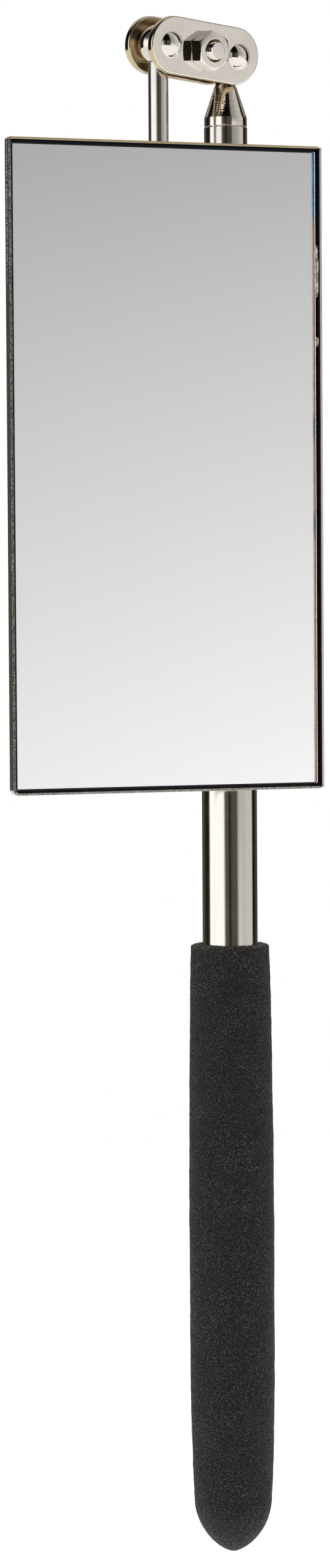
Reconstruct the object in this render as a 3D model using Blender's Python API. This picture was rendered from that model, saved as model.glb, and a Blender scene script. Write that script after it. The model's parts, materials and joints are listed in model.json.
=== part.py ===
"""Telescoping inspection mirror: a foam-gripped three-section handle that carries a
framed rectangular mirror on a clamped double ball joint.

World frame: metres, +Z up along the handle, origin at the butt of the grip on the
handle's axis. The mirror faces -Y and hangs stowed beside and in front of the handle.
"""

from math import atan2, cos, pi, radians, sin, sqrt

import bmesh
import bpy
from mathutils import Matrix, Vector

MM = 0.001
ROUND = 36
SMALL_ROUND = 24
WELD = 1e-7

# Foam grip: a closed sleeve with an ogive butt and a slight belly
GRIP_LENGTH = 99.4 * MM
GRIP_TIP_HEIGHT = 9.0 * MM
GRIP_TIP_RADIUS = 6.45 * MM
GRIP_TIP_SHARPNESS = 0.65
GRIP_BELLY_RADIUS = 7.0 * MM
GRIP_BELLY_HEIGHT = 52.0 * MM
GRIP_MOUTH_RADIUS = 6.46 * MM
GRIP_BORE_RADIUS = 4.52 * MM
GRIP_BORE_FLOOR = 5.4 * MM
GRIP_RIM_ROUND = 0.7 * MM

# Telescoping tubes: outer radius, wall, foot and mouth heights when collapsed
HANDLE_RADIUS, HANDLE_WALL = 4.45 * MM, 0.35 * MM
HANDLE_FOOT, HANDLE_MOUTH = 7.0 * MM, 214.0 * MM
MIDDLE_RADIUS, MIDDLE_WALL = 3.925 * MM, 0.30 * MM
MIDDLE_FOOT, MIDDLE_MOUTH = 21.0 * MM, 222.5 * MM
INNER_RADIUS, INNER_WALL = 3.46 * MM, 0.40 * MM
INNER_FOOT, INNER_MOUTH = 31.0 * MM, 230.55 * MM
LIP_LENGTH = 0.8 * MM
LIP_CLEARANCE = 0.045 * MM
SLIDE_CLEARANCE = 0.04 * MM

# End plug: a flange under the handle tube and a tapered spigot up in it
PLUG_FLANGE, PLUG_SPIGOT, PLUG_TAPER = 0.9 * MM, 5.5 * MM, 0.5 * MM
PLUG_FLANGE_INSET, PLUG_CHAMFER, PLUG_GAP = 0.05 * MM, 0.3 * MM, 0.15 * MM

# Tail bushes and the split friction springs in their waists
BUSH_BORE = 1.5 * MM
BUSH_SPIGOT = 4.0 * MM
BUSH_COLLAR = 1.15 * MM
BUSH_CHAMFER = 0.2 * MM
BUSH_WAIST_DEPTH = 0.55 * MM
MIDDLE_WAIST, INNER_WAIST = 3.4 * MM, 2.9 * MM
SHOULDER_CLEARANCE = 0.05 * MM
SPRING_SPLIT = radians(40)
SPRING_END_GAP = 0.1 * MM
SPRING_CLEARANCE = 0.06 * MM

# Nose stud
NOSE_RADIUS = 3.41 * MM
NOSE_BASE = 230.65 * MM
NOSE_CONE_BASE = 232.15 * MM
NOSE_CONE_TOP = 237.0 * MM
NOSE_CONE_TIP_RADIUS = 1.8 * MM
NOSE_PLUG_LENGTH = 8.7 * MM
NOSE_PLUG_CHAMFER = 0.3 * MM
NECK_RADIUS = 1.6 * MM
NECK_BLEND = 0.4 * MM

# Balls, quarter inch, drilled for the spigots of the stud and the stem
BALL_RADIUS = 3.175 * MM
BALL_BORE = 1.08 * MM
BALL_FLAT = 2.70 * MM
SPIGOT_RADIUS = 1.0 * MM
SPIGOT_LENGTH = 3.9 * MM
SPIGOT_CHAMFER = 0.2 * MM
SPIGOT_END_GAP = 0.1 * MM
SHOULDER_GAP = 0.08 * MM

# Clamp link: the roll about the line between the balls turns the front plate down
LINK_HEIGHT = 241.9 * MM
LINK_PITCH = 13.45 * MM
LINK_YAW = radians(15.6)
LINK_TILT = radians(4.3)
LINK_ROLL = radians(6.0)
PLATE_LENGTH, PLATE_WIDTH, PLATE_THICKNESS = 21.2 * MM, 9.1 * MM, 1.25 * MM
PLATE_GAP = 5.0 * MM
PLATE_EDGE_ROUND = 0.3 * MM
BOLT_HOLE_RADIUS = 1.65 * MM

# Ball seats pressed into the plates: a dome outside over a round socket inside
DOME_FOOT_RADIUS = 2.05 * MM
DOME_SLOPE = radians(52)
SOCKET_RADIUS = 3.275 * MM

# M3 bolt and nut that squeeze the plates
BOLT_RADIUS = 1.42 * MM
THREAD_PITCH, THREAD_DEPTH, THREAD_TURNS = 0.5 * MM, 0.22 * MM, 3
BOLT_END_STANDOUT, BOLT_END_CHAMFER = 1.0 * MM, 0.15 * MM
HEX_ACROSS_FLATS = 5.5 * MM
NUT_HEIGHT, BOLT_HEAD_HEIGHT = 2.4 * MM, 2.0 * MM
NUT_BORE = 1.55 * MM
NUT_COUNTERSINK = 1.75 * MM
NUT_REST_TURN = radians(9)
HEX_CHAMFER_FACE, HEX_CHAMFER_SHARE = 0.97, 0.75
SEAT_GAP = 0.05 * MM

# Mirror stem, an eighth of an inch
STEM_RADIUS = 1.5875 * MM
STEM_FOOT = 166.0 * MM
STEM_END_CHAMFER = 0.4 * MM
STEM_SHOULDER, STEM_SHOULDER_INSET = 0.25 * MM, 0.1 * MM

# Saddle strap that holds the stem on the back of the tray
SADDLE_SHEET = 0.5 * MM
SADDLE_HALF_WIDTH = 6.3 * MM
SADDLE_LENGTH = 22.0 * MM
SADDLE_CENTRE_HEIGHT = 186.0 * MM
SADDLE_CLEARANCE = 0.05 * MM

# Mirror tray and the glass stack in it, back to front
TRAY_WIDTH, TRAY_HEIGHT, TRAY_DEPTH = 53.0 * MM, 102.8 * MM, 2.2 * MM
TRAY_SHEET = 0.4 * MM
TRAY_BOTTOM = 124.5 * MM
TRAY_BEND_RADIUS = 0.45 * MM
TRAY_BEND_FOOT, TRAY_BEND_INSIDE = 0.6 * MM, 0.05 * MM
TRAY_NOTCH = 0.2 * MM
GLASS_WIDTH, GLASS_HEIGHT, GLASS_THICKNESS = 51.4 * MM, 101.2 * MM, 0.80 * MM
GLASS_SHIFT = -0.3 * MM
GLASS_EDGE_GRIND = 0.15 * MM
GLASS_CORNER_ROUND = 0.35 * MM
COAT_THICKNESS, COAT_MARGIN = 0.06 * MM, 0.1 * MM
PAD_THICKNESS = 0.72 * MM
PAD_MARGIN, PAD_CORNER_ROUND = 4.0 * MM, 2.0 * MM
LAYER_GAP = 0.04 * MM

# Beads of clear sealant between the glass and the right wall: height and length
GLUE_BEAD_RECESS = 0.5 * MM
GLUE_BEADS = {
    "glue_bead_upper": (207.5 * MM, 8.4 * MM),
    "glue_bead_lower": (196.2 * MM, 1.6 * MM),
}


def clear_scene():
    for item in list(bpy.data.objects):
        bpy.data.objects.remove(item, do_unlink=True)


def principled(name, colour, roughness, metallic, alpha=1.0):
    """A Principled material with one colour and finish."""
    material = bpy.data.materials.new(name)
    material.use_nodes = True
    shader = material.node_tree.nodes["Principled BSDF"]
    shader.inputs["Base Color"].default_value = (*colour, 1.0)
    shader.inputs["Roughness"].default_value = roughness
    shader.inputs["Metallic"].default_value = metallic
    shader.inputs["Alpha"].default_value = alpha
    material.diffuse_color = (*colour, alpha)
    return material


def empty(name, location, rotation=(0.0, 0.0, 0.0), parent=None):
    """A pivot that moving pieces hang on."""
    pivot = bpy.data.objects.new(name, None)
    pivot.empty_display_size = 5 * MM
    pivot.location = location
    pivot.rotation_euler = rotation
    pivot.parent = parent
    bpy.context.collection.objects.link(pivot)
    return pivot


def finish(name, bm, material, parent, location=(0.0, 0.0, 0.0), smooth=True):
    """Turn a bmesh into a named object, cleaned, with its faces pointing out."""
    bmesh.ops.remove_doubles(bm, verts=bm.verts, dist=WELD)
    bmesh.ops.recalc_face_normals(bm, faces=bm.faces)
    mesh = bpy.data.meshes.new(name)
    bm.to_mesh(mesh)
    bm.free()
    if smooth:
        mesh.shade_smooth()
        mesh.set_sharp_from_angle(angle=radians(30))
    obj = bpy.data.objects.new(name, mesh)
    obj.location = location
    obj.parent = parent
    if material:
        mesh.materials.append(material)
    bpy.context.collection.objects.link(obj)
    return obj


def turned(outline, segments=ROUND):
    """A bmesh turned about Z from a closed outline of (radius, height) points."""
    bm = bmesh.new()
    ring = [bm.verts.new((r, 0.0, z)) for r, z in outline]
    edges = [bm.edges.new((a, b)) for a, b in zip(ring, ring[1:] + ring[:1])]
    on_axis = [e for e in edges if all(abs(v.co.x) < WELD for v in e.verts)]
    bmesh.ops.delete(bm, geom=on_axis, context="EDGES_FACES")
    bmesh.ops.spin(
        bm, geom=bm.verts[:] + bm.edges[:], cent=(0, 0, 0), axis=(0, 0, 1),
        angle=2 * pi, steps=segments, use_duplicate=False,
    )
    return bm


def extruded(outline, depth):
    """A bmesh prism: an outline of (x, z) points, extruded along +Y by depth."""
    bm = bmesh.new()
    face = bm.faces.new([bm.verts.new((x, 0.0, z)) for x, z in outline])
    moved = bmesh.ops.extrude_face_region(bm, geom=[face])["geom"]
    corners = [v for v in moved if isinstance(v, bmesh.types.BMVert)]
    bmesh.ops.translate(bm, verts=corners, vec=(0, depth, 0))
    return bm


def arc(centre, radius, start, stop, steps):
    """Points on an arc, both ends included; angles from +X towards the second axis."""
    turns = [start + (stop - start) * n / steps for n in range(steps + 1)]
    return [(centre[0] + radius * cos(t), centre[1] + radius * sin(t)) for t in turns]


def cutter(name, bm, parent, location=(0.0, 0.0, 0.0)):
    """A hidden tool for a Boolean."""
    tool = finish(name, bm, None, parent, location)
    tool.hide_render = True
    tool.display_type = "WIRE"
    return tool


def boolean(obj, tool, operation):
    modifier = obj.modifiers.new(tool.name, "BOOLEAN")
    modifier.operation = operation
    modifier.solver = "EXACT"
    modifier.object = tool


def chamfer_edges(bm, width, segments, chosen):
    """Bevel the edges that the test picks."""
    bmesh.ops.recalc_face_normals(bm, faces=bm.faces)
    edges = [e for e in bm.edges if chosen(e)]
    bmesh.ops.bevel(
        bm, geom=edges, offset=width, offset_type="OFFSET", segments=segments,
        profile=0.5, affect="EDGES", clamp_overlap=True,
    )


# Handle ---------------------------------------------------------------------


def grip_radius(z):
    """Outer radius of the foam at a height."""
    if z < GRIP_TIP_HEIGHT:
        rise = 1 - (1 - z / GRIP_TIP_HEIGHT) ** 2
        return GRIP_TIP_RADIUS * rise**GRIP_TIP_SHARPNESS
    if z < GRIP_BELLY_HEIGHT:
        share = (GRIP_BELLY_HEIGHT - z) / (GRIP_BELLY_HEIGHT - GRIP_TIP_HEIGHT)
        return GRIP_BELLY_RADIUS - (GRIP_BELLY_RADIUS - GRIP_TIP_RADIUS) * share**4
    share = (z - GRIP_BELLY_HEIGHT) / (GRIP_LENGTH - GRIP_BELLY_HEIGHT)
    return GRIP_BELLY_RADIUS - (GRIP_BELLY_RADIUS - GRIP_MOUTH_RADIUS) * share**2


def make_grip(material, parent):
    tip = [GRIP_TIP_HEIGHT * (n / 7) ** 2 for n in range(8)]
    rim_start = GRIP_LENGTH - GRIP_RIM_ROUND
    body = [GRIP_TIP_HEIGHT + (rim_start - GRIP_TIP_HEIGHT) * n / 10 for n in range(1, 11)]
    outline = [(grip_radius(z), z) for z in tip + body]
    rim_centre = (grip_radius(rim_start) - GRIP_RIM_ROUND, rim_start)
    outline += arc(rim_centre, GRIP_RIM_ROUND, 0, pi / 2, 3)[1:]
    outline += [
        (GRIP_BORE_RADIUS + GRIP_RIM_ROUND / 2, GRIP_LENGTH),
        (GRIP_BORE_RADIUS, GRIP_LENGTH - GRIP_RIM_ROUND),
        (GRIP_BORE_RADIUS, GRIP_BORE_FLOOR),
        (0.0, GRIP_BORE_FLOOR),
    ]
    return finish("grip_sleeve", turned(outline), material, parent)


def tube_outline(radius, wall, foot, mouth, lip_radius):
    """A tube whose mouth is rolled in to lip_radius."""
    bore = radius - wall
    roll = wall / 2
    return [
        (radius, foot), (radius, mouth - roll), (radius - roll, mouth),
        (lip_radius, mouth), (lip_radius, mouth - LIP_LENGTH),
        (bore, mouth - LIP_LENGTH - (bore - lip_radius)), (bore, foot),
    ]


def make_tube(name, radius, wall, foot, mouth, passing, material, parent):
    """One telescoping section; passing is the radius of the tube that it guides."""
    lip = passing + LIP_CLEARANCE if passing else radius - wall - SLIDE_CLEARANCE
    outline = tube_outline(radius, wall, foot, mouth, lip)
    return finish(name, turned(outline), material, parent)


def make_end_plug(material, parent):
    bore = HANDLE_RADIUS - HANDLE_WALL - SLIDE_CLEARANCE
    flange = HANDLE_RADIUS - PLUG_FLANGE_INSET
    flange_top = HANDLE_FOOT - PLUG_GAP
    flange_foot = flange_top - PLUG_FLANGE
    top = HANDLE_FOOT + PLUG_SPIGOT
    outline = [
        (0.0, flange_foot), (flange - PLUG_CHAMFER, flange_foot),
        (flange, flange_foot + PLUG_CHAMFER), (flange, flange_top), (bore, flange_top),
        (bore, top - PLUG_TAPER), (bore - PLUG_TAPER, top), (0.0, top),
    ]
    return finish("handle_end_plug", turned(outline), material, parent)


def bush_waist(tube_foot, length):
    """Heights of the top and bottom of the waist below a tube's foot."""
    top = tube_foot - SHOULDER_CLEARANCE - BUSH_COLLAR
    return top, top - length


def make_tail_bush(name, tube_bore, guide_bore, tube_foot, waist_length, material, parent):
    """Turned bush: a spigot up in the tube's tail, two collars that guide in the next
    tube's bore, and a waist between them for the friction spring."""
    spigot = tube_bore - SLIDE_CLEARANCE
    collar = guide_bore - SLIDE_CLEARANCE
    waist = collar - BUSH_WAIST_DEPTH
    shoulder = tube_foot - SHOULDER_CLEARANCE
    waist_top, waist_bottom = bush_waist(tube_foot, waist_length)
    foot = waist_bottom - BUSH_COLLAR
    outline = [
        (BUSH_BORE, foot), (collar - BUSH_CHAMFER, foot), (collar, foot + BUSH_CHAMFER),
        (collar, waist_bottom), (waist, waist_bottom), (waist, waist_top),
        (collar, waist_top), (collar, shoulder), (spigot, shoulder),
        (spigot, tube_foot + BUSH_SPIGOT), (BUSH_BORE, tube_foot + BUSH_SPIGOT),
    ]
    return finish(name, turned(outline), material, parent)


def make_friction_spring(name, guide_bore, tube_foot, waist_length, material, parent):
    """A split band in the bush's waist that rubs on the next tube's bore."""
    outer = guide_bore - SLIDE_CLEARANCE
    inner = outer - BUSH_WAIST_DEPTH + SPRING_CLEARANCE
    top, bottom = bush_waist(tube_foot, waist_length)
    start, stop = SPRING_SPLIT / 2, 2 * pi - SPRING_SPLIT / 2
    steps = round(ROUND * (stop - start) / (2 * pi))
    ring = arc((0, 0), outer, start, stop, steps) + arc((0, 0), inner, stop, start, steps)
    bm = extruded(ring, top - bottom - 2 * SPRING_END_GAP)
    bmesh.ops.rotate(bm, verts=bm.verts, cent=(0, 0, 0), matrix=Matrix.Rotation(pi / 2, 3, "X"))
    return finish(name, bm, material, parent, (0, 0, bottom + SPRING_END_GAP))


# Double ball joint ----------------------------------------------------------


def make_nose_stud(material, parent):
    plug = INNER_RADIUS - INNER_WALL - SLIDE_CLEARANCE
    plug_foot = NOSE_BASE - NOSE_PLUG_LENGTH
    shoulder = LINK_HEIGHT - BALL_FLAT - SHOULDER_GAP
    top = shoulder + SPIGOT_LENGTH
    outline = [
        (0.0, plug_foot), (plug - NOSE_PLUG_CHAMFER, plug_foot),
        (plug, plug_foot + NOSE_PLUG_CHAMFER), (plug, NOSE_BASE), (NOSE_RADIUS, NOSE_BASE),
        (NOSE_RADIUS, NOSE_CONE_BASE), (NOSE_CONE_TIP_RADIUS, NOSE_CONE_TOP),
        (NECK_RADIUS, NOSE_CONE_TOP + NECK_BLEND), (NECK_RADIUS, shoulder),
        (SPIGOT_RADIUS, shoulder), (SPIGOT_RADIUS, top - SPIGOT_CHAMFER),
        (SPIGOT_RADIUS - SPIGOT_CHAMFER, top), (0.0, top),
    ]
    return finish("nose_stud", turned(outline), material, parent)


def make_ball(name, material, parent):
    """A ball about its parent's origin, flat and drilled underneath."""
    flat_angle = -atan2(BALL_FLAT, sqrt(BALL_RADIUS**2 - BALL_FLAT**2))
    outline = arc((0, 0), BALL_RADIUS, flat_angle, pi / 2, 10)
    outline[-1] = (0.0, BALL_RADIUS)
    bore_top = SPIGOT_LENGTH - BALL_FLAT - SHOULDER_GAP + SPIGOT_END_GAP
    outline += [(0.0, bore_top), (BALL_BORE, bore_top), (BALL_BORE, -BALL_FLAT)]
    return finish(name, turned(outline, SMALL_ROUND), material, parent)


def stadium(length, width, steps):
    """Outline of a plate with full round ends, centred, as (x, z) points."""
    reach = (length - width) / 2
    right = arc((reach, 0), width / 2, -pi / 2, pi / 2, steps)
    left = arc((-reach, 0), width / 2, pi / 2, 3 * pi / 2, steps)
    return right + left


def on_flat_face(edge):
    """Whether an edge lies in a plane of constant Y, as an outline's edges do."""
    return abs(edge.verts[0].co.y - edge.verts[1].co.y) < WELD


def along_y(bm, outward=1):
    """Lay a bmesh turned about Z down along +Y, or along -Y where outward is -1."""
    turn = Matrix.Rotation(-outward * pi / 2, 3, "X")
    bmesh.ops.rotate(bm, verts=bm.verts, cent=(0, 0, 0), matrix=turn)
    return bm


def dome_outline():
    """The pressed dome, up from inside the plate, about the ball's centre."""
    radius = DOME_FOOT_RADIUS / sin(DOME_SLOPE)
    face = PLATE_GAP / 2 + PLATE_THICKNESS
    centre = face - radius * cos(DOME_SLOPE)
    inside = face - PLATE_THICKNESS / 4
    cap = arc((0, centre), radius, pi / 2 - DOME_SLOPE, pi / 2, 6)
    return [(0.0, inside), (cap[0][0], inside)] + cap[:-1] + [(0.0, centre + radius)]


def socket_outline():
    """The half of the ball's round seat that cuts the plate, about the ball's centre."""
    return [(0.0, 0.0)] + arc((0, 0), SOCKET_RADIUS, 0, pi / 2, 8)[:-1] + [(0.0, SOCKET_RADIUS)]


def make_plate(name, outward, material, parent):
    """A link plate in the link's frame; outward is -1 for the front and 1 for the back."""
    bm = extruded(stadium(PLATE_LENGTH, PLATE_WIDTH, 16), PLATE_THICKNESS)
    chamfer_edges(bm, PLATE_EDGE_ROUND, 2, on_flat_face)
    near_face = PLATE_GAP / 2 if outward > 0 else -PLATE_GAP / 2 - PLATE_THICKNESS
    plate = finish(name, bm, material, parent, (-LINK_PITCH / 2, near_face, 0))
    for end, x in (("left", -LINK_PITCH), ("right", 0.0)):
        dome = cutter(f"{name}_{end}_dome", along_y(turned(dome_outline(), SMALL_ROUND), outward),
                      parent, (x, 0, 0))
        boolean(plate, dome, "UNION")
        socket = cutter(f"{name}_{end}_socket", along_y(turned(socket_outline()), outward),
                        parent, (x, 0, 0))
        boolean(plate, socket, "DIFFERENCE")
    hole = extruded(arc((0, 0), BOLT_HOLE_RADIUS, 0, 2 * pi, SMALL_ROUND)[:-1], 3 * PLATE_THICKNESS)
    place = (-LINK_PITCH / 2, near_face - PLATE_THICKNESS, 0)
    boolean(plate, cutter(f"{name}_hole", hole, parent, place), "DIFFERENCE")
    return plate


def hexagon(height, turn=0.0):
    """A hexagonal prism along +Y; its first point is turned from the link's Z."""
    corner = HEX_ACROSS_FLATS / sqrt(3)
    start = pi / 2 + turn
    return extruded(arc((0, 0), corner, start, start + 2 * pi, 6)[:-1], height)


def chamfer_cone(height, both_ends):
    """The turned envelope that takes the corners off a hexagon, along +Y."""
    corner = HEX_ACROSS_FLATS / sqrt(3)
    flat = HEX_ACROSS_FLATS / 2
    face = flat * HEX_CHAMFER_FACE
    wide = corner + SEAT_GAP
    rise = HEX_CHAMFER_SHARE * (wide - face)
    bottom = [(0, 0), (face, 0), (wide, rise)] if both_ends else [(0, -SEAT_GAP), (wide, -SEAT_GAP)]
    return along_y(turned(bottom + [(wide, height - rise), (face, height), (0, height)], SMALL_ROUND))


def make_nut(material, parent):
    """The clamp nut in its own frame: origin on the bolt's axis, seat at y = 0."""
    front = (0, -NUT_HEIGHT, 0)
    nut = finish("clamp_nut", hexagon(NUT_HEIGHT, NUT_REST_TURN), material, parent, front, smooth=False)
    boolean(nut, cutter("nut_envelope", chamfer_cone(NUT_HEIGHT, True), parent, front), "INTERSECT")
    sink = NUT_COUNTERSINK - NUT_BORE
    over = NUT_HEIGHT / 2
    outline = [
        (0, -over), (NUT_COUNTERSINK + over, -over), (NUT_BORE, sink),
        (NUT_BORE, NUT_HEIGHT - sink), (NUT_COUNTERSINK + over, NUT_HEIGHT + over),
        (0, NUT_HEIGHT + over),
    ]
    bore = cutter("nut_bore", along_y(turned(outline, SMALL_ROUND)), parent, front)
    boolean(nut, bore, "DIFFERENCE")
    return nut


def bolt_outline(end, head_seat):
    """The shank and its last threads, from the free end at y = -end into the head."""
    root = BOLT_RADIUS - THREAD_DEPTH
    outline = [(0.0, -end), (root - BOLT_END_CHAMFER, -end)]
    for turn in range(THREAD_TURNS):
        crest = -end + (turn + 0.6) * THREAD_PITCH
        flank, half_crest = 0.45 * THREAD_PITCH, 0.12 * THREAD_PITCH
        outline += [(root, crest - flank), (BOLT_RADIUS, crest - half_crest),
                    (BOLT_RADIUS, crest + half_crest), (root, crest + flank)]
    shank = outline[-1][1] + THREAD_DEPTH
    buried = head_seat + BOLT_HEAD_HEIGHT / 4
    return outline + [(BOLT_RADIUS, shank), (BOLT_RADIUS, buried), (0.0, buried)]


def make_bolt(material, parent):
    """Bolt along the plates' normal: head behind the back plate, end past the nut."""
    head_seat = PLATE_GAP / 2 + PLATE_THICKNESS + SEAT_GAP
    place = (0, head_seat, 0)
    bolt = finish("clamp_bolt", hexagon(BOLT_HEAD_HEIGHT), material, parent, place, smooth=False)
    envelope = cutter("bolt_head_envelope", chamfer_cone(BOLT_HEAD_HEIGHT, False), parent, place)
    boolean(bolt, envelope, "INTERSECT")
    outline = bolt_outline(head_seat + NUT_HEIGHT + BOLT_END_STANDOUT, head_seat)
    boolean(bolt, cutter("bolt_shank", along_y(turned(outline, SMALL_ROUND)), parent), "UNION")
    return bolt


# Mirror ---------------------------------------------------------------------


def make_stem(material, parent):
    """The rod, in a frame whose origin is the upper ball's centre."""
    shoulder = -BALL_FLAT - SHOULDER_GAP
    foot = STEM_FOOT - stem_ball_centre().z
    top = shoulder + SPIGOT_LENGTH
    outline = [
        (0.0, foot), (STEM_RADIUS - STEM_END_CHAMFER, foot), (STEM_RADIUS, foot + STEM_END_CHAMFER),
        (STEM_RADIUS, shoulder - STEM_SHOULDER), (STEM_RADIUS - STEM_SHOULDER_INSET, shoulder),
        (SPIGOT_RADIUS, shoulder), (SPIGOT_RADIUS, top - SPIGOT_CHAMFER),
        (SPIGOT_RADIUS - SPIGOT_CHAMFER, top), (0.0, top),
    ]
    return finish("mirror_stem", turned(outline, SMALL_ROUND), material, parent)


def stem_ball_centre():
    """World place of the upper ball, from the link's pose."""
    flat = -LINK_PITCH * cos(LINK_TILT)
    rise = LINK_PITCH * sin(LINK_TILT)
    return Vector((flat * cos(LINK_YAW), flat * sin(LINK_YAW), LINK_HEIGHT + rise))


def tray_back():
    """y of the tray's back face, which the stem lies against, from the stem's axis."""
    return -STEM_RADIUS - LAYER_GAP


def make_saddle(material, parent):
    """Strap bent over the stem with a flange each side on the tray."""
    seat = tray_back() + LAYER_GAP
    hump = STEM_RADIUS + SADDLE_CLEARANCE
    outer = hump + SADDLE_SHEET
    base = seat + SADDLE_SHEET
    outline = [(-SADDLE_HALF_WIDTH, seat), (-hump, seat)]
    outline += arc((0, 0), hump, pi, 0, 16)
    outline += [(hump, seat), (SADDLE_HALF_WIDTH, seat), (SADDLE_HALF_WIDTH, base), (outer, base)]
    outline += arc((0, 0), outer, 0, pi, 16)
    outline += [(-outer, base), (-SADDLE_HALF_WIDTH, base)]
    bm = extruded(outline, SADDLE_LENGTH)
    bmesh.ops.rotate(bm, verts=bm.verts, cent=(0, 0, 0), matrix=Matrix.Rotation(-pi / 2, 3, "X"))
    centre = SADDLE_CENTRE_HEIGHT - stem_ball_centre().z
    return finish("stem_saddle", bm, material, parent, (0, 0, centre + SADDLE_LENGTH / 2))


def wall_profile():
    """Section of one folded wall as (distance in from the outer face, depth from the
    tray's back): the bend's outer and inner arcs and the sheared lip."""
    bend, sheet = TRAY_BEND_RADIUS, TRAY_SHEET
    foot = bend + TRAY_BEND_FOOT
    outer = arc((bend, bend), bend, 3 * pi / 2, pi, 5)
    inner = arc((bend, bend), max(bend - sheet, TRAY_BEND_INSIDE), pi, 3 * pi / 2, 3)
    return [(foot, 0.0)] + outer + [(0.0, TRAY_DEPTH), (sheet, TRAY_DEPTH)] + inner + [(foot, sheet)]


def make_wall(name, length, offset, turn, parent, location):
    """One folded wall, centred on its side of the tray, as a Boolean tool."""
    profile = [(inward - offset, depth) for inward, depth in wall_profile()]
    bm = bmesh.new()
    face = bm.faces.new([bm.verts.new((x, -depth, -length / 2)) for x, depth in profile])
    moved = bmesh.ops.extrude_face_region(bm, geom=[face])["geom"]
    corners = [v for v in moved if isinstance(v, bmesh.types.BMVert)]
    bmesh.ops.translate(bm, verts=corners, vec=(0, 0, length))
    bmesh.ops.rotate(bm, verts=bm.verts, cent=(0, 0, 0), matrix=Matrix.Rotation(turn, 3, "Y"))
    return cutter(name, bm, parent, location)


def make_tray(material, parent, centre):
    """Stamped pan: a floor with notched corners and four folded walls."""
    half_width, half_height = TRAY_WIDTH / 2, TRAY_HEIGHT / 2
    inset = TRAY_BEND_RADIUS
    x, z = half_width - inset, half_height - inset
    notch = TRAY_NOTCH
    floor = [(-x, -z + notch), (-x + notch, -z), (x - notch, -z), (x, -z + notch),
             (x, z - notch), (x - notch, z), (-x + notch, z), (-x, z - notch)]
    tray = finish("mirror_tray", extruded(floor, TRAY_SHEET), material, parent,
                  centre - Vector((0, TRAY_SHEET, 0)), smooth=False)
    sides = [("left", TRAY_HEIGHT, half_width, 0.0), ("right", TRAY_HEIGHT, half_width, pi),
             ("top", TRAY_WIDTH, half_height, pi / 2), ("bottom", TRAY_WIDTH, half_height, -pi / 2)]
    for side, length, offset, turn in sides:
        run = length - 2 * (inset + notch)
        wall = make_wall(f"tray_wall_{side}", run, offset, turn, parent, centre)
        boolean(tray, wall, "UNION")
    return tray


def rounded_rectangle(width, height, radius, steps=4):
    """Outline as (x, z) points, anticlockwise from the lower right corner."""
    x, z = width / 2 - radius, height / 2 - radius
    corners = [((x, -z), -pi / 2), ((x, z), 0.0), ((-x, z), pi / 2), ((-x, -z), pi)]
    return [p for middle, start in corners for p in arc(middle, radius, start, start + pi / 2, steps)]


def make_pane(name, size, radius, grind, thickness, back, material, parent, centre):
    """A flat layer of the mirror; back is how far in front of the tray's back it starts."""
    bm = extruded(rounded_rectangle(*size, radius), thickness)
    if grind:
        chamfer_edges(bm, grind, 1, on_flat_face)
    place = centre + Vector((GLASS_SHIFT, -back - thickness, 0))
    return finish(name, bm, material, parent, place, smooth=False)


def make_glue_bead(name, height, length, material, parent, centre):
    """A lens of sealant lying along the gap at the right of the glass."""
    glass_edge = GLASS_WIDTH / 2 + GLASS_SHIFT
    gap = TRAY_WIDTH / 2 - TRAY_SHEET - glass_edge
    bm = bmesh.new()
    bmesh.ops.create_uvsphere(bm, u_segments=10, v_segments=8, radius=0.5)
    stretch = (gap - 2 * LAYER_GAP, TRAY_DEPTH - TRAY_SHEET - GLUE_BEAD_RECESS, length)
    bmesh.ops.scale(bm, vec=stretch, verts=bm.verts)
    place = centre + Vector((glass_edge + gap / 2, -(TRAY_SHEET + TRAY_DEPTH) / 2, 0))
    place.z = height - stem_ball_centre().z
    return finish(name, bm, material, parent, place)


def make_materials():
    return {
        "foam": principled("black_foam", (0.018, 0.018, 0.019), 0.95, 0.0),
        "steel": principled("brushed_stainless", (0.62, 0.60, 0.58), 0.25, 1.0),
        "nickel": principled("polished_nickel", (0.72, 0.68, 0.64), 0.10, 1.0),
        "tray": principled("bright_sheet_steel", (0.50, 0.49, 0.47), 0.28, 1.0),
        "brass": principled("brass", (0.72, 0.53, 0.25), 0.30, 1.0),
        "plastic": principled("black_plastic", (0.03, 0.03, 0.03), 0.45, 0.0),
        "spring": principled("spring_bronze", (0.60, 0.38, 0.20), 0.32, 1.0),
        "glass": principled("clear_glass", (0.85, 0.92, 0.90), 0.02, 0.0, 0.35),
        "silvering": principled("silvering", (0.92, 0.93, 0.93), 0.03, 1.0),
        "pad": principled("white_foam_tape", (0.80, 0.80, 0.76), 0.80, 0.0),
        "sealant": principled("clear_sealant", (0.90, 0.90, 0.86), 0.15, 0.0, 0.6),
    }


def make_handle(skin):
    handle = empty("handle_pivot", (0, 0, 0))
    make_grip(skin["foam"], handle)
    make_tube("handle_tube", HANDLE_RADIUS, HANDLE_WALL, HANDLE_FOOT, HANDLE_MOUTH,
              MIDDLE_RADIUS, skin["steel"], handle)
    make_end_plug(skin["plastic"], handle)
    return handle


def make_section(stage, tube, passing, guide_bore, waist, skin, parent):
    """A sliding section: its tube, given as (radius, wall, foot, mouth), its tail bush
    and its friction spring."""
    radius, wall, foot, mouth = tube
    pivot = empty(f"{stage}_slide", (0, 0, 0), parent=parent)
    make_tube(f"{stage}_tube", radius, wall, foot, mouth, passing, skin["steel"], pivot)
    make_tail_bush(f"{stage}_tail_bush", radius - wall, guide_bore, foot, waist, skin["brass"], pivot)
    make_friction_spring(f"{stage}_friction_spring", guide_bore, foot, waist, skin["spring"], pivot)
    return pivot


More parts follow.
